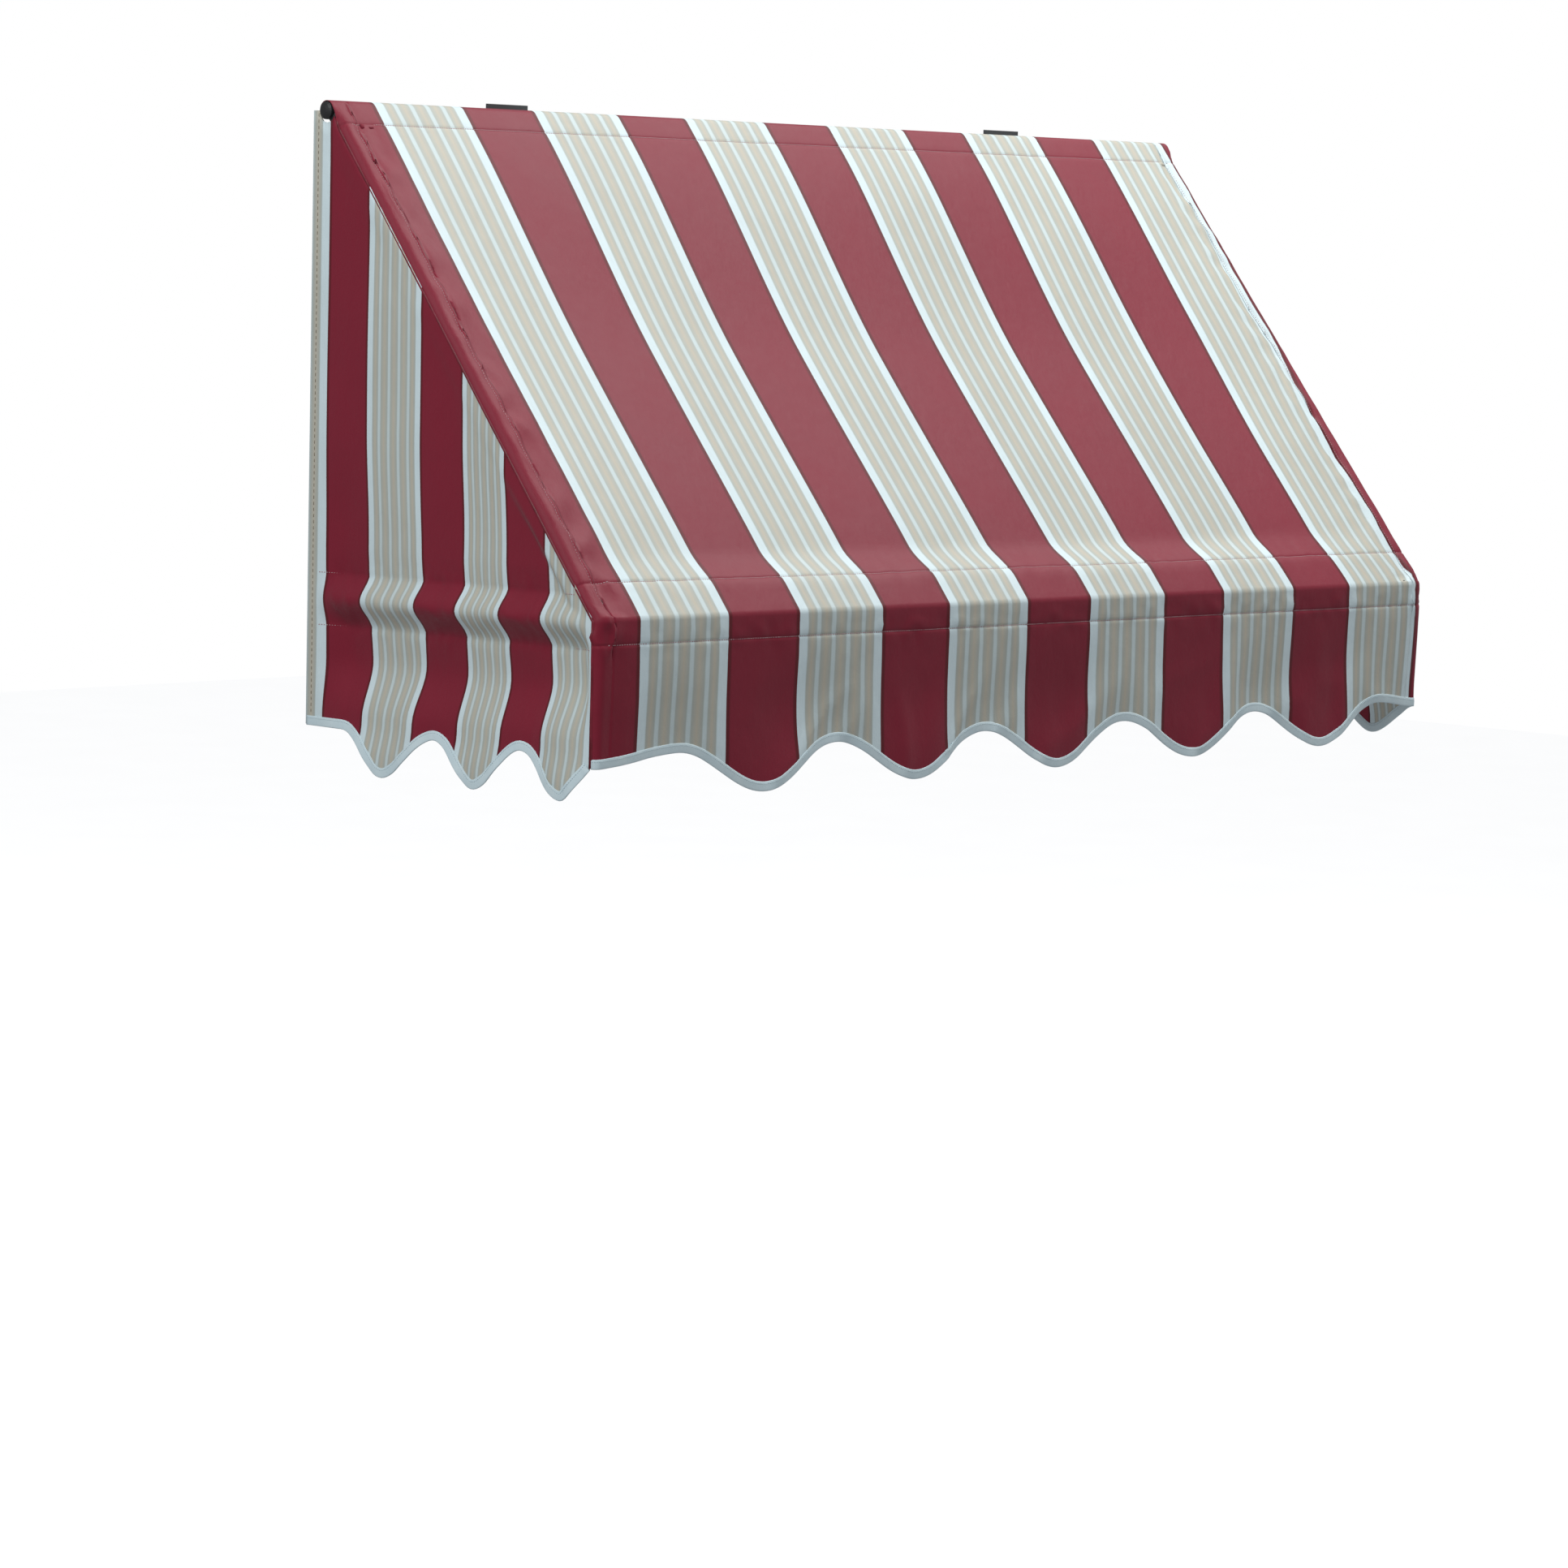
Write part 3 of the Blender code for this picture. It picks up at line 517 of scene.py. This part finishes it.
def add_sweep(name, spots, section, material, closed=True, uvs=True, thickness=0.0):
    """A section swept along spots. A spot is (place, side axis, up axis); the section is
    (side, up) pairs, and its loop is closed unless closed is False."""
    vertices, metres = [], []
    length, before = 0.0, None
    for place, side_axis, up_axis in spots:
        length += (place - before).length if before else 0.0
        before = place
        for across, height in section:
            vertices.append(place + side_axis * across + up_axis * height)
            metres.append((length, height + across))
    count = len(section)
    faces = []
    for j in range(len(spots) - 1):
        for i in range(count if closed else count - 1):
            k = (i + 1) % count
            faces.append((j * count + i, j * count + k, (j + 1) * count + k,
                          (j + 1) * count + i))
    if closed:
        faces.append(tuple(reversed(range(count))))
        faces.append(tuple((len(spots) - 1) * count + i for i in range(count)))
    layers = {"stripes": metres, "cloth": metres} if uvs else None
    piece = add_piece(name, vertices, faces, material, layers)
    if thickness:
        thicken(piece, thickness)
    return piece


def add_stitches(name, path, material, length=0.0034, pitch=0.0044, width=0.0014,
                 height=0.0007):
    """A row of stitches along path: (place, outward normal) pairs close together."""
    vertices, faces = [], []
    walked, due = 0.0, pitch / 2
    for (start, normal), (end, _) in zip(path, path[1:]):
        step = end - start
        span = step.length
        while due <= walked + span:
            middle = start + step * ((due - walked) / span)
            along = step / span
            across = normal.cross(along).normalized()
            base = len(vertices)
            vertices.append(middle - along * length / 2 - normal * height * 0.4)
            for share in (-0.3, 0.0, 0.3):
                ring = middle + along * length * share
                lift = height * (1.0 if share == 0 else 0.8)
                vertices += [ring - across * width / 2 + normal * lift * 0.3,
                             ring + normal * lift,
                             ring + across * width / 2 + normal * lift * 0.3,
                             ring - normal * height * 0.6]
            vertices.append(middle + along * length / 2 - normal * height * 0.4)
            for k in range(4):
                following = (k + 1) % 4
                faces.append((base, base + 1 + following, base + 1 + k))
                for ring in (0, 4):
                    faces.append((base + 1 + ring + k, base + 1 + ring + following,
                                  base + 5 + ring + following, base + 5 + ring + k))
                faces.append((base + 9 + k, base + 9 + following, base + 13))
            due += pitch
        walked += span
    return add_piece(name, vertices, faces, material)


# ---------------------------------------------------------------- canopy
Station = namedtuple("Station", "axis normal run drop share")
# axis: where the section's normal starts, on a tube's axis or on the line below it.
# run: distance down the slope. drop: distance below the front bar's axis, as a fixed part
# and a share of what is left down to the hem.
FIXED_DROP = 0.050


def first_high():
    return FIRST_PALE + PALE_STRIPE / 2


def low_share(u):
    """How low the front hem is, from 0 at its high points to 1 at its low ones."""
    start = first_high()
    end = start + (FRONT_PALE_STRIPES - 1) * STRIPE_PITCH
    inside = min(max(u, start), end)
    share = (1 - math.cos(2 * math.pi * (inside - start) / STRIPE_PITCH)) / 2
    side, turn = (-1, start) if u < 0 else (1, end)
    beyond = side * (u - turn) / (HALF_WIDTH - abs(turn))
    return share + ease(beyond) * through(SIDE_HEMS[side], SIDE_FRONT)


def front_hem(u):
    return HEM_HIGH - SCALLOP_DEPTH * low_share(u)


def roof_slack(u, run):
    """How far the roof's cloth hangs below its taut plane."""
    across = 1 - min(1.0, abs(u) / (ARM_X - 0.010)) ** 3.2
    deepest = 0.022 + 0.004 * wander(u * 1.7, 3.0, 4)
    down = through(((0.04, 0.0), (0.42, 1.0), (0.765, 0.80), (0.838, 0.0)), run)
    return deepest * across * down


def roof_lift(u, run):
    """The roof cloth's height over its taut plane: slack, folds, gathers and puckers."""
    from_edge = ARM_X - abs(u)
    side = 5.0 if u > 0 else 0.0
    lift = -roof_slack(u, run)
    free = ease((run - 0.06) / 0.15) * ease((ROOF_RUN - 0.05 - run) / 0.10)
    lift += free * 0.0022 * wander(u / 0.20, run / 0.55, 1)
    lift += 0.0017 * bell(run - FRONT_STITCH_UP + 0.010, 0.028) * wander(u / 0.018, run / 0.05, 2)
    lift += 0.0007 * bell(run - TOP_STITCH, 0.030) * wander(u / 0.022, run / 0.05, 3)
    lift -= 0.0011 * bell(run - FRONT_STITCH_UP, 0.0022)
    lift -= 0.0009 * bell(run - TOP_STITCH, 0.0022)
    edge = bell(from_edge - 0.026, 0.024) * ease(run / 0.05)
    lift += edge * 0.0046 * wander((run + 0.7 * from_edge) / 0.034, from_edge / 0.05, 6 + side)
    lift += edge * 0.0040 * (crease(run / 0.085, from_edge / 0.035, 7 + side) - 0.35)
    dimples = max(0.0, wander(run / 0.021, 0.3, 8 + side)) ** 1.5
    lift -= bell(from_edge - EDGE_STITCH, 0.0030) * (0.0012 + 0.0060 * dimples)
    return lift


def front_lift(u, below):
    """The same for the front: below is the distance under the front bar's axis."""
    low = min(1.0, low_share(u))
    share = below / (FRONT.z - front_hem(u))
    lift = 0.0026 * bell(below - 0.019, 0.011) * (crease(u / 0.028, below / 0.05, 11) - 0.25)
    lift += 0.0020 * bell(below - 0.034, 0.016) * wander(u / 0.016, below / 0.04, 12)
    lift -= 0.0012 * bell(below - FRONT_STITCH_DOWN, 0.0022)
    hangs = ease((below - 0.025) / 0.16)
    lift += hangs * 0.0075 * wander(u / 0.17, share * 0.7, 13)
    lift += hangs * 0.0030 * wander(u / 0.05, share * 1.3, 14)
    lift += hangs * 0.0032 * (crease(u / 0.11 + share * 0.8, share * 1.1, 15) - 0.3)
    lift += 0.0085 * low * ease((share - 0.45) / 0.55) - 0.0030 * hangs
    return lift


def corner_lift(u, station):
    """Bunched cloth where roof, front and side meet over a front corner."""
    run = station.run if station.run is not None else ROOF_RUN + station.drop
    from_corner = math.hypot(max(0.0, ARM_X - abs(u)), run - ROOF_RUN - 0.010)
    side = 3.0 if u > 0 else 0.0
    bunch = crease(u / 0.030, run / 0.050, 17 + side) - 0.25
    return 0.0052 * bell(from_corner, 0.040) * max(bunch, -0.08)


def canopy_lift(u, station):
    if station.run is not None and station.run < 0:
        return 0.0
    if station.run is not None:
        return roof_lift(u, station.run) + corner_lift(u, station)
    below = station.drop
    if station.share is not None:
        below = FIXED_DROP + station.share * (FRONT.z - front_hem(u) - FIXED_DROP)
    return front_lift(u, below) + corner_lift(u, station)


def canopy_point(u, station):
    """Where the canopy lies: u is the distance across it from the middle."""
    side = -1 if u < 0 else 1
    axis = station.axis
    if station.share is not None:
        drop = FIXED_DROP + station.share * (FRONT.z - front_hem(u) - FIXED_DROP)
        axis = FRONT - Vector((0, 0, drop))
    beyond = max(0.0, abs(u) - ARM_X)
    reach = REACH + canopy_lift(u, station)
    turned = ease((station.run - 0.004) / 0.035) if station.run is not None else 1.0
    angle = beyond / REACH
    flat_x = beyond * (HALF_WIDTH - ARM_X) / (REACH * WRAP)
    x = turned * reach * math.sin(angle) + (1 - turned) * flat_x
    out = reach * (turned * math.cos(angle) + 1 - turned)
    return Vector((side * (min(abs(u), ARM_X) + x), axis.y, axis.z)) + station.normal * out


def turned_normal(start, end, share):
    """The direction a share of the way between two in the plane across the bars."""
    first = math.atan2(start.z, start.y)
    last = math.atan2(end.z, end.y) % (2 * math.pi)
    angle = first + (last - first) * share
    return Vector((0, math.cos(angle), math.sin(angle)))


def canopy_stations():
    """The canopy's section from the stitching of the top pocket to the hem."""
    stations = []
    stitch = TOP + DOWN_SLOPE * TOP_STITCH + ROOF_NORMAL * (REACH - LAYER)
    away = stitch - TOP
    leave = math.atan2(away.z, away.y) + math.acos(REACH / away.length)
    leave_normal = Vector((0, math.cos(leave), math.sin(leave)))
    tangent = TOP + leave_normal * REACH
    tail = stitch + DOWN_SLOPE * 0.007
    for spot in (tail, stitch, stitch.lerp(tangent, 0.33), stitch.lerp(tangent, 0.66)):
        share = (spot - stitch).length / (tangent - stitch).length
        normal = (-ROOF_NORMAL).lerp(leave_normal, min(1.0, share)).normalized()
        stations.append(Station(spot - normal * REACH, normal, -1.0, 0, None))
    roof_angle = math.atan2(ROOF_NORMAL.z, ROOF_NORMAL.y)
    first = leave - 2 * math.pi if leave > roof_angle else leave
    for index in range(17):
        angle = first + (roof_angle - first) * index / 17
        normal = Vector((0, math.cos(angle), math.sin(angle)))
        stations.append(Station(TOP, normal, -1.0 if index < 17 else 0.0, 0, None))
    for run in spaced(0.0, ROOF_RUN, 0.0105, (TOP_STITCH, FRONT_STITCH_UP)):
        stations.append(Station(TOP + DOWN_SLOPE * run, ROOF_NORMAL, run, 0, None))
    bend = 6
    for index in range(1, bend + 1):
        normal = turned_normal(ROOF_NORMAL, OUTWARD, index / bend)
        stations.append(Station(FRONT, normal, None, 0.0, None))
    for drop in spaced(0.0, FIXED_DROP, 0.006, (FRONT_STITCH_DOWN,))[1:]:
        stations.append(Station(FRONT - Vector((0, 0, drop)), OUTWARD, None, drop, None))
    rows = 18
    for index in range(1, rows + 1):
        stations.append(Station(FRONT, OUTWARD, None, FIXED_DROP, index / rows))
    return stations


CANOPY_EDGE = ARM_X + REACH * WRAP


def canopy_columns():
    seam = ARM_X - EDGE_STITCH
    middle = spaced(-seam, seam, 0.0085)
    right = spaced(seam, CANOPY_EDGE, 0.0026, (seam + 0.0001,))[1:]
    near = [seam - offset for offset in (0.0012, 0.0026, 0.0045)]
    right = sorted(near + right)
    return [-u for u in reversed(right)] + middle + right


def canopy_phase(u, station):
    """The stripe phase: the cloth is sewn on slightly askew towards its right edge."""
    run = station.run if station.run is not None else ROOF_RUN
    askew = 0.013 * ease((u - 0.35) / 0.55) * through(
        ((0.0, -0.55), (0.35, -0.2), (0.62, 1.0), (0.80, 0.9), (ROOF_RUN, 0.1)), run)
    return (u + askew - FIRST_PALE) / STRIPE_PITCH + 4


def build_canopy():
    stations = canopy_stations()
    distances = [0.0]
    for a, b in zip(stations, stations[1:]):
        here, there = canopy_point(0.0, a), canopy_point(0.0, b)
        distances.append(distances[-1] + (there - here).length)
    order = {id(station): distance for station, distance in zip(stations, distances)}
    notch = 0.052
    bracket_x = middle_of("top_wall_bracket_right").x

    def uv(u, station):
        along = order[id(station)]
        return (canopy_phase(u, station), along), (u, along)

    def keep(us, pair):
        if pair[1].run is None or pair[1].run >= 0 or pair[1].normal.z > 0.35:
            return True
        middle = abs(us[0] + us[1]) / 2
        return abs(middle - bracket_x) > notch and middle < ARM_X - 0.020

    canopy = add_grid("canopy", canopy_columns(), stations, canopy_point, uv, keep=keep)
    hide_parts("canopy_cloth")
    return canopy, stations


# ---------------------------------------------------------------- side panels
def side_hem(side, distance):
    return HEM_HIGH - SCALLOP_DEPTH * through(SIDE_HEMS[side], distance)


def side_top(distance):
    """Upper edge of a side panel: round the top bar's end, then under the canopy's edge."""
    clearance = 0.0168
    y = -distance
    if y > TOP.y - clearance:
        inside = clearance ** 2 - (y - TOP.y) ** 2
        return -math.sqrt(inside) if inside > 0 else 0.0
    under = 0.0052
    edge_y = FRONT.y + ROOF_NORMAL.y * under
    if y < edge_y:
        return FRONT.z + math.sqrt(max(0.0, under ** 2 - (y - FRONT.y) ** 2))
    return (under - ROOF_NORMAL.y * (y - TOP.y)) / ROOF_NORMAL.z


SIDE_PROFILE = (
    (-0.225, 0.0120), (-0.165, 0.0030), (-0.085, -0.0200), (-ARM_STITCH_DOWN, -0.0165),
    (0.000, 0.0075), (ARM_STITCH_UP, -0.0105), (0.075, -0.0080), (0.240, -0.0010),
)


def side_out(side, distance, z):
    """How far a side panel stands out from its plane."""
    seed = SIDE_SEEDS[side]
    dz = z - FRONT.z
    gap = side_top(distance) - z
    held = ease((distance - 0.012) / 0.075) * ease((SIDE_FRONT - distance) / 0.030)
    held *= ease(gap / 0.050)
    out = through(SIDE_PROFILE, dz)
    out += 0.0020 * bell(dz - ARM_STITCH_UP, 0.020) * wander(distance / 0.014, dz / 0.03, seed)
    out += 0.0024 * bell(dz + ARM_STITCH_DOWN, 0.022) * wander(distance / 0.015, dz / 0.03,
                                                               seed + 1)
    out += 0.0020 * bell(dz, 0.030) * (crease(distance / 0.030, dz / 0.05, seed + 2) - 0.3)
    out -= 0.0013 * bell(dz - ARM_STITCH_UP, 0.0024)
    out -= 0.0013 * bell(dz + ARM_STITCH_DOWN, 0.0024)
    hangs = ease((-dz - 0.045) / 0.10)
    out += hangs * (0.0070 * wander(distance / 0.062, dz / 0.16, seed + 3)
                    + 0.0016 * wander(distance / 0.022, dz / 0.08, seed + 4))
    out += ease((dz - 0.05) / 0.1) * 0.0030 * wander(distance / 0.09, dz / 0.22, seed + 5)
    near_rafter = bell(gap - 0.030, 0.030) * ease(distance / 0.08)
    out += near_rafter * 0.0020 * wander(distance / 0.040, dz / 0.05, seed + 6)
    if out < 0:
        from_rafter = abs((Vector((TOP.x, -distance, z)) - TOP).dot(ROOF_NORMAL))
        held *= ease((from_rafter - REACH) / 0.015)
    return out * held


def side_point(side, distance, z):
    return Vector((side * (SIDE_X + side_out(side, distance, z)), -distance, z))


def side_columns():
    """Pairs of distance from the wall and how far inside the panel's plane: the wall hem
    is folded inwards."""
    fold = [(0.021, 0.0012), (0.014, 0.0012), (0.007, 0.0012), (0.003, 0.0011),
            (0.0013, 0.0006)]
    bar = -TOP.y
    near_bar = [bar - 0.0168, bar - 0.0150, bar - 0.0115, bar - 0.006, bar, bar + 0.006,
                bar + 0.0115, bar + 0.0150, bar + 0.0168]
    rest = spaced(bar + 0.0168, SIDE_FRONT, 0.0052)[1:]
    flat = [0.0016, 0.004, 0.008, *near_bar, *rest]
    return [*fold, *((distance, 0.0) for distance in flat)]


def side_height(side, distance, row):
    """Height of a panel row: 0 to 1 below the arm's pocket, 1 to 2 round it, 2 to 3 above."""
    pocket_low = FRONT.z - 0.058
    top = side_top(distance)
    pocket_high = min(FRONT.z + 0.056, top - 0.016)
    if row <= 1:
        hem = side_hem(side, distance) + 0.0006
        return hem + (pocket_low - hem) * row
    if row <= 2:
        return pocket_low + (pocket_high - pocket_low) * (row - 1)
    return pocket_high + (top - pocket_high) * (row - 2)


def side_rows():
    counts = (14, 26, 34)
    rows = [0.0]
    for block, count in enumerate(counts):
        rows += [block + (index + 1) / count for index in range(count)]
    return rows


def build_side_panel(label, side):
    def point(column, row):
        distance, inset = column
        spot = side_point(side, distance, side_height(side, distance, row))
        return spot - Vector((side * inset, 0, 0))

    def uv(column, row):
        distance, inset = column
        along = distance if not inset else -distance
        height = side_height(side, distance, row)
        return (straight_through(SIDE_STRIPES, along) + 4, height), (along, height)

    panel = add_grid("side_cloth_" + label, side_columns(), side_rows(), point, uv)
    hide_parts("side_panel_" + label)
    return panel


# ---------------------------------------------------------------- pockets for the tubes
def lining_path(centre, start, end, side, slack=0.0010):
    """A strip's section from start round the far side of a tube to end, in one plane."""
    def touch(spot, turn):
        away = spot - centre
        return math.atan2(away.y, away.x) + turn * math.acos(REACH / away.length)

    first, last = touch(start, -side), touch(end, side)
    if side * (first - last) < 0:
        last -= side * 2 * math.pi
    reach = REACH + slack
    arc = [centre + Vector((math.cos(a), math.sin(a))) * reach
           for a in (first + (last - first) * i / 9 for i in range(10))]
    path = [start, start.lerp(arc[0], 0.5), *arc, end.lerp(arc[-1], 0.5), end]
    return path


def build_front_pocket():
    """The strip inside the cloth that holds the front bar, between its two seams."""
    centre = Vector((FRONT.y, FRONT.z))
    half = ARM_X - POCKET_END

    def section(u):
        up = (TOP + DOWN_SLOPE * FRONT_STITCH_UP
              + ROOF_NORMAL * (REACH - LAYER + roof_lift(u, FRONT_STITCH_UP)))
        out = REACH - LAYER + front_lift(u, FRONT_STITCH_DOWN)
        down = Vector((FRONT.y - out, FRONT.z - FRONT_STITCH_DOWN))
        return lining_path(centre, Vector((up.y, up.z)), down, 1)

    columns = spaced(-half, half, 0.012)
    sections = {u: section(u) for u in columns}
    rows = list(range(len(sections[columns[0]])))

    def point(u, row):
        y, z = sections[u][row]
        return Vector((u, y, z)) + Vector((0, 0.0007 * wander(u / 0.05, row / 3, 31), 0))

    def uv(u, row):
        return ((u - FIRST_PALE) / STRIPE_PITCH + 4, row * 0.01), (u, row * 0.01)

    pocket = add_grid("front_pocket", columns, rows, point, uv)
    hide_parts("front_bar_pocket")
    return pocket


def build_arm_pocket(label, side):
    """The strip inside a side panel that holds the side arm, between its two seams."""
    centre = Vector((ARM_X, FRONT.z))
    box_low, box_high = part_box("arm_pocket_" + label)
    columns = spaced(-box_high.y, -box_low.y, 0.010)

    def section(distance):
        ends = []
        for z in (FRONT.z + ARM_STITCH_UP, FRONT.z - ARM_STITCH_DOWN):
            ends.append(Vector((SIDE_X + side_out(side, distance, z) - LAYER, z)))
        return lining_path(centre, ends[0], ends[1], -1)

    sections = {distance: section(distance) for distance in columns}
    rows = list(range(len(sections[columns[0]])))

    def point(distance, row):
        x, z = sections[distance][row]
        return Vector((side * x, -distance, z))

    def uv(distance, row):
        return ((straight_through(SIDE_STRIPES, distance) + 4, row * 0.01),
                (distance, row * 0.01))

    pocket = add_grid("arm_sleeve_" + label, columns, rows, point, uv)
    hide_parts("arm_pocket_" + label)
    return pocket


# ---------------------------------------------------------------- bindings, welts and seams
def binding_section():
    """A tape folded over the hem, open at the top, as (out, up) pairs."""
    half = 0.0011
    bottom = [(half * math.cos(a), half * 0.9 * math.sin(a))
              for a in (-math.pi * i / 6 for i in range(1, 6))]
    return [(0.0007, BINDING_HEIGHT), (0.0010, BINDING_HEIGHT - 0.0010),
            (half + 0.0002, BINDING_HEIGHT / 2), (half, 0.0015), (half, 0.0), *bottom,
            (-half, 0.0), (-half, 0.0015), (-half - 0.0002, BINDING_HEIGHT / 2),
            (-0.0010, BINDING_HEIGHT - 0.0010), (-0.0007, BINDING_HEIGHT)]


def hem_spots(places, above):
    """Sweep spots along a hem from its places and the cloth's places just above them."""
    spots = []
    for index, place in enumerate(places):
        before, after = places[max(0, index - 1)], places[min(len(places) - 1, index + 1)]
        along = (after - before).normalized()
        out = along.cross(above[index] - place).normalized()
        up = out.cross(along).normalized()
        spots.append((place, out, up))
    return spots


def build_binding(name, node, spots):
    tape = add_sweep(name, spots, binding_section(), TAPE, closed=False,
                     thickness=0.0004)
    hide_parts(node)
    for face, sign in (("outer", 1), ("inner", -1)):
        path = [(place + up * (BINDING_HEIGHT - 0.0032) + out * sign * 0.0015, out * sign)
                for place, out, up in spots]
        add_stitches(f"{name}_stitches_{face}", path, TAPE_THREAD,
                     length=0.0026, pitch=0.0036, width=0.0007, height=0.0004)
    return tape


def build_front_binding(stations):
    last, above = stations[-1], stations[-2]
    columns = spaced(-CANOPY_EDGE + 0.001, CANOPY_EDGE - 0.001, 0.0065)
    places = [canopy_point(u, last) for u in columns]
    higher = [canopy_point(u, above) for u in columns]
    return build_binding("hem_tape_front", "valance_binding_front",
                         hem_spots(places, higher))


def build_side_binding(label, side):
    distances = spaced(0.0036, SIDE_FRONT - 0.0012, 0.0055)
    if side > 0:
        distances.reverse()
    places, higher = [], []
    for distance in distances:
        hem = side_hem(side, distance)
        places.append(side_point(side, distance, hem))
        higher.append(side_point(side, distance, hem + 0.008))
    return build_binding("hem_tape_" + label, "valance_binding_" + label,
                         hem_spots(places, higher))


def build_welt(label, side, stations):
    """The thin raised seam where the canopy's edge meets a side panel."""
    inside = side * (CANOPY_EDGE - 0.0012)
    spots = []
    chosen = [s for s in stations if s.run is None or s.run >= 0.012]
    for station in chosen:
        place = canopy_point(inside, station)
        other = canopy_point(side * (CANOPY_EDGE - 0.0045), station)
        out_of_cloth = Vector((side, 0, 0)) * 0.98 + station.normal * 0.2
        spots.append((place, (place - other).normalized(), out_of_cloth.normalized()))
    radius = 0.0017
    section = [(radius * 1.25 * math.cos(a), radius * 0.8 * math.sin(a))
               for a in (2 * math.pi * i / 8 for i in range(8))]
    if side > 0:
        section.reverse()
    return add_sweep("edge_welt_" + label, spots, section, WELT, uvs=False)


def welt_cloth():
    """The red cloth rolled into the welt."""
    graph = Graph("welt_cloth")
    place = graph.place("Object")
    tone = graph.noise(place, 40.0, 3)
    graph.colour(graph.ramp(tone, ((0.3, RED_EDGE), (0.7, RED))))
    graph.normal(graph.bump(graph.noise(place, 900.0, 2), 0.0003, 0.5))
    graph.roughness(graph.math("ADD", graph.math("MULTIPLY", tone, 0.15), 0.42))
    return graph.material


WELT = welt_cloth()


def seam_path(places, normals, lift=0.0004):
    return [(place + normal * lift, normal) for place, normal in zip(places, normals)]


def build_canopy_seams(stations):
    """Rows of stitches beside the top bar, beside the front bar and along both rafters."""
    across = spaced(-ARM_X + 0.004, ARM_X - 0.004, 0.008)

    def nearest(test):
        return min((s for s in stations if test(s) is not None), key=test)

    rows = {
        "top": nearest(lambda s: abs(s.run - TOP_STITCH) if s.run and s.run > 0 else None),
        "front_upper": nearest(lambda s: abs(s.run - FRONT_STITCH_UP)
                               if s.run and s.run > 0 else None),
        "front_lower": nearest(lambda s: abs(s.drop - FRONT_STITCH_DOWN)
                               if s.run is None and s.share is None else None),
    }
    for word, station in rows.items():
        places = [canopy_point(u, station) for u in across]
        for face, sign in (("outer", 1), ("inner", -1)):
            normals = [station.normal * sign] * len(places)
            add_stitches(f"stitches_{word}_{face}", seam_path(places, normals), SEAM_THREAD)
    slope = [s for s in stations if s.run is not None and 0.04 < s.run < ROOF_RUN - 0.02]
    for label, side in SIDES:
        places = [canopy_point(side * (ARM_X - EDGE_STITCH), s) for s in slope]
        path = seam_path(places, [s.normal for s in slope])
        add_stitches("stitches_rafter_" + label, path, SEAM_THREAD,
                     width=0.0007)


def build_side_seams(label, side):
    """Rows of stitches above and below the side arm, and along the wall hem."""
    out = Vector((side, 0, 0))
    lines = (("upper", FRONT.z + ARM_STITCH_UP), ("lower", FRONT.z - ARM_STITCH_DOWN))
    for word, z in lines:
        distances = [d for d in spaced(0.024, SIDE_FRONT - 0.012, 0.006)
                     if side_top(d) > z + 0.008]
        places = [side_point(side, d, z) for d in distances]
        for face, sign in (("outer", 1), ("inner", -1)):
            path = seam_path(places, [out * sign] * len(places))
            add_stitches(f"stitches_arm_{word}_{label}_{face}", path, SEAM_THREAD)
    distance = 0.0125
    top = side_top(distance) - 0.004
    bottom = side_hem(side, distance) + BINDING_HEIGHT + 0.003
    heights = spaced(bottom, top, 0.01)
    places = [side_point(side, distance, z) for z in heights]
    add_stitches("stitches_wall_hem_" + label, seam_path(places, [out] * len(places)),
                 HEM_THREAD, length=0.0062, pitch=0.0086, width=0.0011)


# ---------------------------------------------------------------- the frame's finishes
def finish_frame():
    """Every shown CAD node gets a finish, and the brackets, nuts and bolts softer edges."""
    tube_paint = powder_coat("tube_paint", (0.045, 0.048, 0.052))
    bracket_paint = powder_coat("bracket_paint", (0.080, 0.085, 0.090), 700.0)
    nylon, zinc = moulded_nylon(), zinc_plate()
    finishes = (
        (("top_bar_cap", "front_corner", "top_corner"), nylon, "black_plastic"),
        (("top_wall_bracket", "lower_wall_bracket"), bracket_paint, "bracket_paint"),
        (("screw", "arm_bolt", "arm_nut"), zinc, "zinc_steel"),
        (("top_bar", "front_bar", "side_arm", "rafter"), tube_paint, "frame_paint"),
    )
    for name, node in NODES.items():
        if node.hide_render:
            continue
        for words, material, slot in finishes:
            if any(word in name for word in words):
                node.data.materials.clear()
                node.data.materials.append(material)
                break
        if "bracket" in name or "nut" in name or "bolt" in name:
            bevel = node.modifiers.new("soft_edges", "BEVEL")
            bevel.width = 0.0005
            bevel.segments = 2
            bevel.limit_method = "ANGLE"
            bevel.angle_limit = math.radians(50)


# ---------------------------------------------------------------- build
add_camera()
add_studio()
add_floor()

canopy, canopy_section = build_canopy()
panels = {label: build_side_panel(label, side) for label, side in SIDES}
front_pocket = build_front_pocket()
sleeves = {label: build_arm_pocket(label, side) for label, side in SIDES}
front_tape = build_front_binding(canopy_section)
side_tapes = {label: build_side_binding(label, side) for label, side in SIDES}
welts = [build_welt(label, side, canopy_section) for label, side in SIDES]
build_canopy_seams(canopy_section)
for label, side in SIDES:
    build_side_seams(label, side)
finish_frame()
